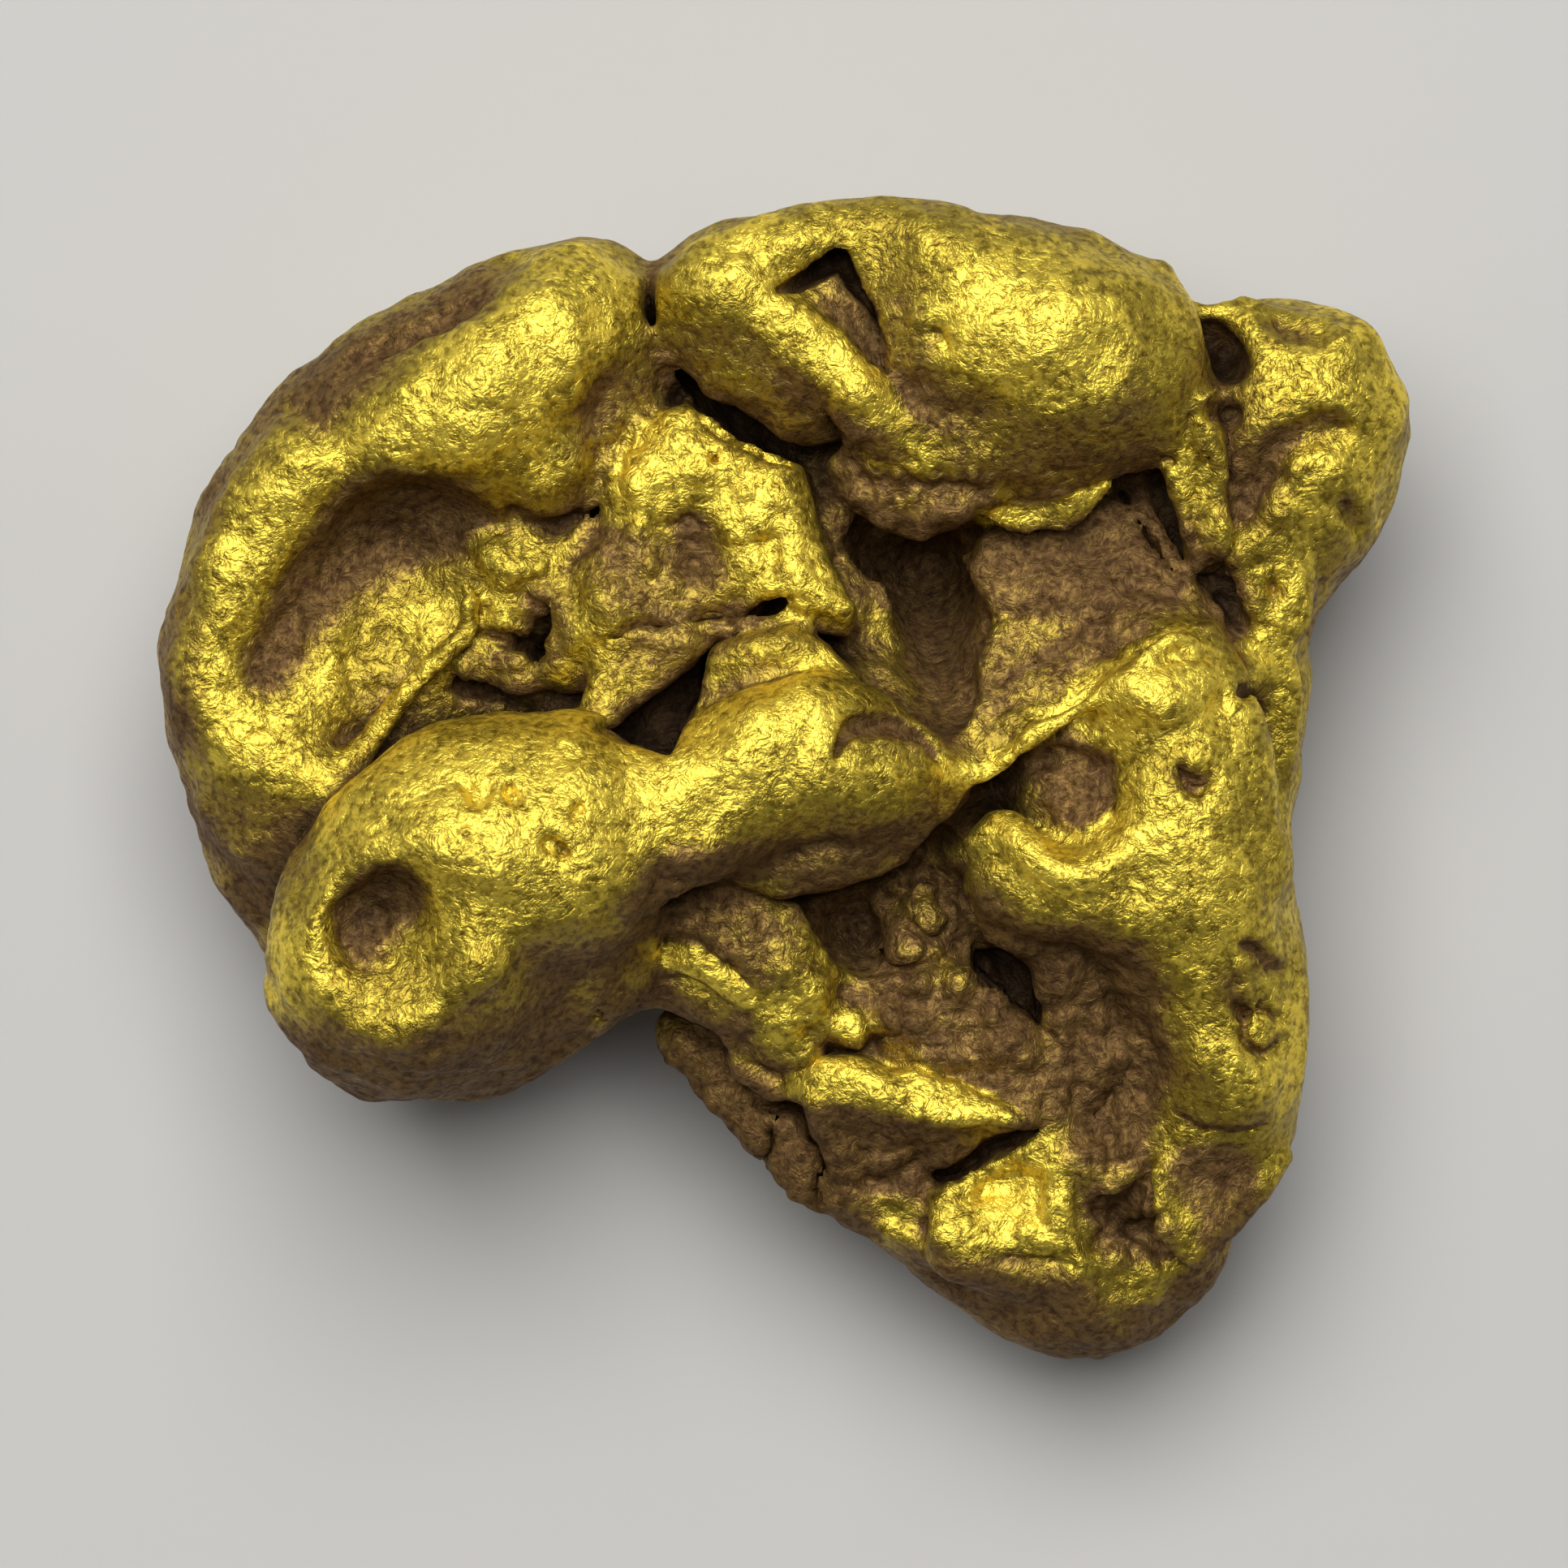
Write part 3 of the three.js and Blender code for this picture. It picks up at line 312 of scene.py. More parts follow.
# Hollows and creases: the same ropes as the folds, taken away.
HOLLOWS = {
    "dish floor": (0.6, 0.8, [(-7.05, 1.4, 6.3, 1), (-6, 2.3, 6.25, 1.15), (-5.35, 3, 6.1, 1)]),
    "dish wall": (0.7, 0.9, [
        (-7.3, 1.65, 5.65, 0.35), (-6.45, 2.65, 5.5, 0.5), (-5.7, 3.35, 5.3, 0.62),
        (-5.1, 3.55, 5.4, 0.42)]),
    "under lip": (0.15, 1, [
        (1.3, 3.4, 4.3, 0.5), (1.9, 3.1, 3.9, 0.75), (2.2, 2.4, 4.3, 0.6), (2.2, 1.7, 4.9, 0.45),
        (2.25, 1.2, 5.3, 0.25)]),
    "lip cave": (0.1, 1, [(1.3, 3.7, 4.2, 0.4), (2, 3.65, 4.1, 0.45), (2.7, 3.5, 4.2, 0.3)]),
    "lip hole": (0.05, 1, [
        (2.62, 3.75, 5.3, 0.14), (2.85, 3.64, 5.2, 0.2), (3.08, 3.52, 5.1, 0.1)]),
    "flake cave": (0.1, 1, [(3.5, 3.9, 4.9, 0.25), (4.3, 4, 5, 0.3), (4.9, 4.2, 5.1, 0.3)]),
    "curtain cave": (0.1, 1, [(4.8, 4.4, 5.2, 0.3), (5.2, 4.1, 5.1, 0.3), (5.5, 3.6, 5, 0.18)]),
    "centre hollow": (0.15, 1, [
        (0.7, -1.9, 4.6, 0.45), (1.3, -2.1, 4.4, 0.75), (2.1, -2, 4.5, 0.8), (2.6, -2.3, 4.4, 0.5),
        (3.05, -2.7, 4.1, 0.36), (3.4, -3.1, 4.05, 0.3), (3.65, -3.5, 4.1, 0.2)]),
    "bridge cave": (0.1, 1, [(0.4, -1.6, 4.4, 0.4), (1.4, -1.4, 4.4, 0.55), (2.2, -1, 4.6, 0.4)]),
    "nose slit": (0.08, 2, [
        (1.9, -0.95, 5.1, 0.16), (2.43, -0.7, 5.5, 0.2), (2.95, -0.3, 5.7, 0.2),
        (3.5, 0.06, 5.8, 0.2), (3.95, 0.4, 6, 0.2)]),
    "crater": (0.4, 1, [
        (3.8, 0.15, 6.45, 0.55), (4.25, 0.05, 6.45, 0.7), (4.35, -0.35, 6.45, 0.6)]),
    "crater slope": (0.3, 0.8, [(3.6, 0.6, 6.4, 0.5), (4.3, 0.7, 6.6, 0.55), (4.9, 0.4, 6.7, 0.5)]),
    "right flank": (0.6, 1, [(4, -3.2, 5.7, 0.8), (4.5, -3.9, 5.4, 0.9), (4.6, -4.8, 5, 0.7)]),
    "block dish": (0.3, 0.6, [(6.1, -5.75, 4.85, 0.6), (6.35, -6, 4.72, 0.5)]),
    "block cave": (0.08, 1, [
        (5.25, -5.6, 4.4, 0.14), (5.33, -6.1, 4.25, 0.2), (5.5, -6.6, 4, 0.22),
        (5.7, -6.95, 3.85, 0.12)]),
    "thumb pit": (0.25, 1, [
        (-5.5, -1.75, 7.2, 0.4), (-5.9, -1.95, 7.05, 0.45), (-6, -2.3, 7, 0.35)]),
    "thumb dent": (0.5, 0.8, [(-5.6, -2.1, 7.8, 0.85), (-5.7, -2.5, 7.7, 0.9)]),
    "thumb saddle": (0.3, 0.8, [
        (-5.2, -1.7, 7.75, 0.4), (-4.6, -1.9, 7.9, 0.35), (-3.9, -2, 7.8, 0.3)]),
    "thumb crevice": (0.06, 2.5, [
        (-2.45, -2.1, 5.6, 0.1), (-2.6, -2.5, 5.2, 0.14), (-2.7, -3.3, 4.8, 0.12)]),
    "under thumb hole": (0.06, 1, [(-2, -2.15, 5, 0.14), (-1.9, -2.3, 4.9, 0.14)]),
    "knob notch": (0.2, 1, [(6, 7.8, 4.4, 0.3), (6.2, 6.9, 4.6, 0.3)]),
    "cleft arm": (0.05, 2.5, [
        (-0.05, 6.9, 6.35, 0.06), (0.4, 7.1, 6.1, 0.12), (0.86, 7.38, 5.95, 0.15)]),
    "cleft side": (0.05, 2.5, [
        (0.86, 7.38, 5.95, 0.15), (1.1, 7, 5.95, 0.12), (1.3, 6.65, 6, 0.1),
        (1.42, 6.1, 6.25, 0.06)]),
    "cheek crevice": (0.06, 2, [
        (0.62, 5.6, 6, 0.06), (0.75, 5.2, 5.7, 0.12), (0.85, 4.75, 5.4, 0.12)]),
    "top crevice": (0.08, 3, [
        (-1.5, 7.9, 5.2, 0.06), (-1.85, 7.3, 5.7, 0.1), (-1.85, 6.7, 5.6, 0.12),
        (-1.72, 6.3, 5.3, 0.14), (-1.45, 5.95, 5.1, 0.16), (-1.1, 5.55, 5.1, 0.17),
        (-0.66, 5.1, 5.2, 0.15), (-0.2, 4.75, 5.4, 0.1), (0.3, 4.55, 5.5, 0.06)]),
    "valley": (0.3, 1, [
        (-2.1, 6, 6.4, 0.2), (-2.5, 5.3, 6.25, 0.22), (-2.65, 4.4, 6.1, 0.25),
        (-2.8, 3.7, 5.95, 0.22)]),
    "blade cave": (0.08, 1.5, [
        (-0.3, -4.75, 3.7, 0.15), (0.3, -4.95, 3.6, 0.15), (0.65, -5.5, 3.5, 0.15),
        (0.8, -5.95, 3.5, 0.12)]),
    "bottom pit": (0.15, 1, [
        (4.5, -5.75, 4.55, 0.32), (4.7, -6.15, 4.35, 0.42), (5.1, -6.5, 4.1, 0.42),
        (5.6, -6.9, 3.95, 0.22)]),
    "belly crease left": (0.3, 1, [
        (-8.6, 0.2, 0.6, 0.4), (-5, 1, 0.2, 0.4), (-2.6, 3.2, 0.1, 0.4), (-1.3, 7.6, 1.2, 0.5)]),
    "belly crease front": (0.3, 1, [
        (-1, -4.6, 0.7, 0.5), (1.6, -1.6, 0.1, 0.5), (3.6, -0.6, 0.1, 0.4), (7.6, 0.8, 0.9, 0.4)]),
    "belly crease right": (0.3, 1, [
        (-0.6, 3.2, 0, 0.4), (2.4, 3.3, 0.1, 0.45), (5.6, 3.2, 0.5, 0.4), (8.6, 2.8, 1.6, 0.4)]),
}

# Strands: wiry gold left standing in the hollows, laid in as the folds are.
STRANDS = {
    "pit layer high": (0.08, 0.6, [
        (4.3, -5.65, 4.2, 0.15), (4.65, -5.75, 4.2, 0.17), (4.95, -5.6, 4.2, 0.15)]),
    "right rim": (0.15, 1, [
        (2.1, 0.25, 5.65, 0.13), (2.4, 0.1, 5.72, 0.15), (2.85, 0.02, 5.78, 0.15),
        (3.37, 0.38, 5.93, 0.13), (3.95, 0.92, 6.02, 0.13), (4.9, 1.5, 6.3, 0.11),
        (5.5, 1.95, 6.2, 0.12), (5.9, 1.9, 6, 0.14), (6.15, 1.4, 5.8, 0.12)]),
    "centre mound": (0.4, 0.5, [
        (1.7, -1.75, 3.9, 0.35), (2, -2.1, 3.95, 0.5), (2.2, -2.6, 3.95, 0.45)]),
    "centre crumb": (0.1, 0.8, [(2.1, -1.75, 4.2, 0.1), (2.3, -2, 4.25, 0.14)]),
    "centre crumb low": (0.1, 0.8, [(1.6, -2.3, 4.1, 0.1), (1.85, -2.45, 4.2, 0.13)]),
}

# Nicks: pits, cracks and dents in the finished skin. Each is a rope taken away, as a hollow
# is, but its points give how deep its middle lies under the skin in place of z.
NICKS = {
    "lump pit": (0.08, 1, [
        (-3.25, 2.45, 0.1, 0.14), (-3.35, 2.05, 0.15, 0.28), (-3.55, 1.75, 0.15, 0.26)]),
    "lump slit": (0.08, 1.2, [
        (-4.6, 1.35, 0.15, 0.15), (-4.15, 1.2, 0.15, 0.2), (-3.9, 1.1, 0.15, 0.14)]),
    "end groove": (0.1, 1.2, [
        (-3.9, 3.8, 0.1, 0.14), (-3.3, 3.6, 0.1, 0.16), (-2.9, 3.8, 0.1, 0.12)]),
    "end slit": (0.05, 2, [
        (-2.5, 4.1, 0.25, 0.08), (-2.65, 3.8, 0.3, 0.16), (-2.85, 3.4, 0.25, 0.1)]),
    "shoulder dent": (0.2, 1, [
        (-6.1, 6, -0.09, 0.14), (-5.2, 6.4, -0.09, 0.16), (-4.5, 6.75, -0.09, 0.16)]),
    "curtain slit": (0.06, 2, [
        (4.9, 4, 0.15, 0.08), (5.3, 3.4, 0.15, 0.12), (5.6, 2.9, 0.15, 0.1)]),
    "right pit": (0.06, 1, [
        (5.6, 0.1, 0.08, 0.12), (5.78, -0.1, 0.1, 0.22), (6.1, 0.05, 0.06, 0.1)]),
    "band crack": (0.05, 1, [
        (6.5, -2.45, 0.02, 0.08), (6.75, -2.5, 0.05, 0.12), (6.95, -2.72, 0.05, 0.12),
        (7.2, -2.7, 0.03, 0.08)]),
    "band slit": (0.05, 1, [
        (6.5, -2.9, 0.03, 0.08), (6.45, -3.2, 0.05, 0.1), (6.68, -3.45, 0.07, 0.13),
        (6.6, -3.7, 0.06, 0.1), (6.88, -4, 0.06, 0.13), (7.1, -3.78, 0.03, 0.08)]),
    "block crack": (0.05, 1, [
        (5.7, -4.85, 0.02, 0.08), (6, -5, 0.04, 0.1), (6.4, -5.05, 0.04, 0.1),
        (6.8, -4.95, 0.02, 0.08)]),
    "side slit": (0.06, 1.2, [(6.5, 1.1, 0.12, 0.14), (6.8, 0.95, 0.12, 0.12)]),
    "side recess": (0.1, 1, [(6.95, -0.6, 0.15, 0.15), (7.1, -1, 0.15, 0.15)]),
    "thumb hole": (0.08, 1, [(-3.9, -0.16, 0.03, 0.08), (-3.78, -0.3, 0.03, 0.09)]),
    "thumb hole east": (0.1, 1, [(-3.35, -0.98, 0.03, 0.1), (-3.15, -1.08, 0.03, 0.08)]),
    "thumb nick": (0.05, 1, [(-3, -0.6, 0.04, 0.08), (-2.85, -0.45, 0.04, 0.08)]),
    "thumb ring": (0.05, 1, [
        (-4.5, -0.05, 0, 0.08), (-4.35, -0.35, 0, 0.1), (-4.2, -0.1, 0, 0.08)]),
    "crescent": (0.08, 1, [
        (0.78, 0.3, 0.04, 0.09), (1, 0.62, 0.08, 0.15), (1.45, 0.72, 0.08, 0.16),
        (1.85, 0.6, 0.06, 0.12), (2.1, 0.3, 0.04, 0.1)]),
    "knob groove": (0.3, 1, [
        (8, 5, -0.03, 0.13), (7.5, 4.9, -0.02, 0.16), (7, 4.6, 0, 0.18), (6.7, 3.9, 0, 0.18)]),
    "knob dent": (0.2, 1, [(7.1, 6.5, -0.1, 0.25), (7.6, 6.4, -0.1, 0.25)]),
    "knob nick": (0.1, 1, [(8.05, 3.9, 0.05, 0.15), (8.3, 3.6, 0.05, 0.15)]),
    "column pits": (0.15, 1, [(6.15, 2.95, 0, 0.2), (6.35, 2.6, 0.02, 0.26), (6.6, 2.1, 0, 0.2)]),
    "lobe pit": (0.08, 1, [(2.2, 6.25, 0.03, 0.12), (2.35, 6.1, 0.03, 0.12)]),
    "lobe hole": (0.06, 1, [(5.4, 4.65, 0.1, 0.1), (5.5, 4.6, 0.1, 0.12)]),
    "plateau pit": (0.2, 0.7, [(-1.25, 3.4, -0.1, 0.35), (-1.15, 3.05, -0.1, 0.38)]),
    "plateau dent": (0.12, 0.8, [(-0.3, 3.3, -0.05, 0.2), (-0.2, 3.1, -0.05, 0.2)]),
    "plateau nick": (0.06, 1.2, [(-0.95, 4.55, 0.05, 0.09), (-0.6, 4.75, 0.05, 0.09)]),
    "plateau hole": (0.05, 2.5, [
        (-0.5, 2.28, 0.3, 0.12), (-0.25, 2.38, 0.3, 0.2), (-0.1, 2.42, 0.2, 0.12)]),
    "plateau crack": (0.05, 1.5, [
        (-2.5, 2, 0.03, 0.06), (-1.6, 2.15, 0.03, 0.07), (-0.6, 2.25, 0.05, 0.08)]),
    "arc crack": (0.05, 1.5, [
        (1.68, -3.3, 0.03, 0.06), (1.55, -3.65, 0.04, 0.07), (1.15, -3.88, 0.04, 0.07),
        (0.6, -4, 0.03, 0.06)]),
    "blade crack": (0.05, 2.5, [
        (2.2, -5.75, 0.15, 0.12), (2.6, -5.6, 0.15, 0.14), (3.1, -5.3, 0.15, 0.13),
        (3.65, -5.05, 0.15, 0.09)]),
    "flank crack": (0.06, 1, [
        (5, -4, 0.02, 0.07), (4.8, -4.45, 0.04, 0.09), (4.5, -4.85, 0.03, 0.08)]),
    "notch crack": (0.05, 2, [
        (-0.15, -4.9, 0.1, 0.08), (-0.15, -5.3, 0.1, 0.1), (-0.3, -5.6, 0.1, 0.1)]),
    "notch crack low": (0.05, 2, [(0.5, -5.7, 0.1, 0.08), (0.6, -6.2, 0.1, 0.1)]),
    "knob hole": (0.15, 1, [
        (6.05, 6.3, 0.12, 0.22), (6.3, 6.05, 0.14, 0.34), (6.45, 5.85, 0.1, 0.26)]),
    "knob hole low": (0.12, 1, [(6.1, 5.3, 0.05, 0.2), (6.4, 5.2, 0.05, 0.2)]),
    "plate line": (0.05, 1, [
        (3, 0.9, -0.04, 0.08), (3.6, 1.15, -0.04, 0.09), (4.4, 1.65, -0.04, 0.09),
        (5.2, 2.15, -0.04, 0.08)]),
    "plate line middle": (0.05, 1, [
        (3.1, 1.35, -0.05, 0.08), (3.9, 1.8, -0.05, 0.09), (4.8, 2.35, -0.05, 0.08)]),
    "plate line high": (0.05, 1, [
        (3, 2.2, -0.05, 0.08), (3.9, 2.5, -0.05, 0.08), (5, 2.95, -0.05, 0.08)]),
    "curtain line": (0.05, 1, [
        (5.72, 5.2, -0.02, 0.08), (5.85, 4.2, -0.02, 0.08), (5.97, 3.4, -0.02, 0.07)]),
    "curtain line east": (0.05, 1, [
        (5.95, 5.2, -0.02, 0.08), (6.02, 4.4, -0.02, 0.08), (6.08, 3.6, -0.02, 0.07)]),
    "blade face line": (0.06, 1, [
        (0.7, -5, 0, 0.07), (1.2, -5.35, 0.02, 0.09), (1.9, -5.3, 0, 0.07)]),
    "blade face dent": (0.15, 1, [(1.3, -5.8, -0.06, 0.16), (2, -5.55, -0.06, 0.16)]),
    "tooth facet": (0.15, 1, [
        (2.7, -6.05, -0.2, 0.26), (3.2, -5.85, -0.2, 0.28), (3.5, -5.8, -0.2, 0.25)]),
    "lump pit arm": (0.08, 1, [
        (-4.25, 2, 0.03, 0.1), (-3.85, 1.92, 0.06, 0.17), (-3.5, 1.85, 0.1, 0.2)]),
    "band fork": (0.05, 1, [
        (6.68, -3.45, 0.03, 0.08), (6.9, -3.3, 0.04, 0.1), (7.1, -3.45, 0.04, 0.1)]),
}

# Marks on the top side, seen from above: how far each fades beyond its path, how strong it
# is, and its path as x, y and radius. The first thicken the film: brown stains, and painted
# shade on slopes and undersides that lie in shade. On the next the stream has rubbed the
# gold bright, with painted highlights where the crests catch the key light. The last are
# coarse and spongy.
STAINS_AND_SHADE = {
    "dish wall": (0.6, 1, [
        (-7.4, 1.8, 0.2), (-6.55, 2.95, 0.35), (-5.8, 3.65, 0.4), (-5, 3.75, 0.25)]),
    "left underside": (0.5, 0.6, [(-8.4, -0.6, 0.5), (-7.5, -1.1, 0.6), (-7.4, -2, 0.6)]),
    "thumb underside": (0.6, 0.9, [
        (-7, -3.9, 0.3), (-6, -4.5, 0.5), (-4.8, -4.3, 0.6), (-3.4, -4, 0.5)]),
    "thumb pit": (0.4, 0.8, [(-5.5, -1.6, 0.25), (-5.9, -2, 0.3)]),
    "thumb saddle": (0.5, 0.1, [(-5, -1.8, 0.3), (-4, -2, 0.3)]),
    "top flap": (0.25, 0.55, [(-1.3, 6.2, 0.2), (-0.7, 5.85, 0.45), (0.1, 5.3, 0.45)]),
    "top cheek": (0.3, 0.8, [(1.1, 5, 0.3), (1.5, 4.4, 0.3)]),
    "top underside": (0.5, 0.25, [(1.9, 5.4, 0.3), (2.8, 5, 0.5), (4, 4.7, 0.5), (4.9, 4.5, 0.4)]),
    "top lip": (0.3, 0.8, [(1, 4.2, 0.3), (1.8, 3.8, 0.3), (2.6, 3.9, 0.3)]),
    "under lip": (0.4, 1, [(1.3, 3.4, 0.5), (2, 2.8, 0.6), (2.3, 1.9, 0.4)]),
    "hollow foot": (0.4, 0.5, [(2.2, 1.3, 0.3), (1.6, 1.6, 0.3)]),
    "plate": (0.5, 1.4, [(3.1, 3, 0.5), (4.2, 3.1, 0.7), (5.2, 3.2, 0.6)]),
    "plate low": (0.6, 0.8, [(3.1, 1.4, 0.5), (4.2, 2.1, 0.5), (5.3, 2.6, 0.4)]),
    "curtain": (0.3, 0.6, [(5.1, 4.3, 0.4), (5.6, 3.4, 0.2), (6.3, 2.5, 0.4)]),
    "knob": (0.5, 0.6, [(6.3, 5.9, 0.4), (6.6, 5, 0.4), (6.8, 4.3, 0.4)]),
    "knob dent": (0.4, 0.4, [(7.2, 6.4, 0.2), (7.7, 6.4, 0.2)]),
    "column": (0.5, 0.1, [(6.7, 2.2, 0.3), (6.9, 0.8, 0.3), (7, -0.6, 0.3)]),
    "crater": (0.35, 1.2, [
        (3.5, 0.4, 0.2), (3.9, 0.45, 0.3), (4.15, 0.1, 0.35), (4.2, -0.3, 0.25)]),
    "right pit": (0.2, 0.7, [(5.7, -0.1, 0.2), (5.9, -0.2, 0.2)]),
    "slot": (0.2, 1, [(-2.2, 0.8, 0.3), (-1.4, 1.3, 0.3)]),
    "lump pit": (0.3, 0.7, [(-3.4, 2.3, 0.3), (-3.5, 1.8, 0.3), (-4.4, 1.3, 0.2)]),
    "valley": (0.4, 0.4, [(-1.9, 6.1, 0.3), (-2.6, 5.2, 0.3), (-2.7, 3.9, 0.3)]),
    "plateau pit": (0.3, 0.45, [(-1.25, 3.4, 0.3), (-1.1, 3, 0.3)]),
    "bridge low": (0.25, 0.9, [
        (-1.9, -1.3, 0.2), (-0.6, -1.2, 0.15), (0.7, -1.2, 0.15), (1.7, -0.85, 0.15)]),
    "bridge end": (0.4, 0.6, [(1.4, 0.7, 0.2), (2.2, 0.3, 0.3), (2.4, -0.5, 0.3)]),
    "cave": (0.5, 1, [(0.4, -1.8, 0.3), (1.4, -2, 0.5), (2.4, -1.8, 0.5), (3.2, -3, 0.4)]),
    "under bridge": (0.4, 0.8, [(-1.8, -1.7, 0.3), (-0.8, -2.2, 0.4), (0.1, -2.7, 0.3)]),
    "west": (0.4, 0.7, [(-2.2, -3, 0.4), (-1.3, -3.3, 0.3), (-0.7, -3.6, 0.3)]),
    "nose": (0.4, 0.25, [(2.9, -1.9, 0.2), (3.6, -2.1, 0.3), (4.4, -2.3, 0.3)]),
    "right flank": (0.6, 0.95, [
        (3.8, -2.8, 0.4), (4.5, -3.3, 0.6), (4.9, -4.2, 0.5), (4.7, -5, 0.4)]),
    "lower floor": (0.4, 0.9, [(1.4, -3, 0.3), (2.6, -3.5, 0.6), (3.7, -4.3, 0.6)]),
    "lump": (0.4, 0.4, [(-0.1, -3.3, 0.4), (0.1, -3.9, 0.4)]),
    "blade face": (0.3, 0.9, [(0.6, -5.1, 0.3), (1.4, -5.5, 0.5), (2.2, -5.4, 0.3)]),
    "notch": (0.3, 1, [(-1.9, -3.8, 0.3), (-0.9, -4.6, 0.5), (0.2, -5.6, 0.5), (0.9, -6.3, 0.4)]),
    "bottom": (0.5, 1.1, [(2.2, -7.3, 0.4), (3.2, -7.6, 0.5), (4.2, -8, 0.5)]),
    "bottom east": (0.4, 0.95, [(4.8, -8, 0.4), (5.8, -7.9, 0.4), (6.6, -6.9, 0.4)]),
    "bottom pit": (0.3, 0.5, [(4.5, -6, 0.4), (5.2, -6.6, 0.4)]),
    "block": (0.3, 1.3, [(5.9, -5.7, 0.3), (6.4, -5.9, 0.35), (6.2, -6.5, 0.2)]),
    "cleft east": (0.3, 0.6, [(1.7, 6.6, 0.15), (1.9, 6, 0.25), (2, 5.4, 0.3), (2.6, 5.1, 0.3)]),
    "plateau low": (0.3, 0.6, [(-2.5, 1.2, 0.3), (-1.7, 1.75, 0.3), (-0.6, 2.1, 0.25)]),
    "thumb ridge": (0.3, 0.35, [(-6.4, -2.9, 0.2), (-5.8, -3.35, 0.2), (-4.9, -2.9, 0.2)]),
    "top belly": (0.5, 0.6, [(1.9, 5.9, 0.2), (3, 5.5, 0.3), (4.6, 5.4, 0.3)]),
    "band low": (0.6, 0.8, [(6.6, -3, 0.3), (6.6, -4, 0.4)]),
    "cleft": (0.25, 0.4, [(0.7, 6.9, 0.3), (1.2, 6.2, 0.15)]),
    "left edge": (0.8, 1.2, [
        (-8.8, 1, 0.3), (-8.5, 2.8, 0.3), (-7.6, 4.5, 0.3), (-6.3, 5.9, 0.3), (-4.5, 7, 0.2)]),
    "band cracks": (0.08, 1, [
        (6.5, -2.5, 0.03), (6.95, -2.6, 0.08), (6.5, -3, 0.03), (6.6, -3.5, 0.08),
        (6.85, -4, 0.08)]),
    "flank cave": (0.2, 1, [(3, -2.6, 0.2), (3.4, -3.1, 0.2), (3.65, -3.6, 0.1)]),
    "apron": (0.3, 0.35, [(-1.2, 0.7, 0.3), (-0.6, 1.6, 0.3), (0.4, 1.7, 0.3)]),
    "crescent": (0.1, 1, [
        (0.8, 0.4, 0.05), (1.1, 0.66, 0.12), (1.6, 0.7, 0.12), (2.1, 0.35, 0.08)]),
    "top edge": (0.5, 0.35, [(-0.9, 7.9, 0.2), (1.5, 8.2, 0.2), (4, 7.8, 0.2)]),
    "flank low": (0.5, 0.7, [(4.9, -4.6, 0.3), (4.4, -5.2, 0.3)]),
    "plateau west": (0.5, 0.75, [(-2.4, 3.2, 0.3), (-1.7, 2.6, 0.4)]),
    "top mid": (0.5, 0.3, [(1.6, 7.4, 0.3), (2.6, 7, 0.3)]),
}
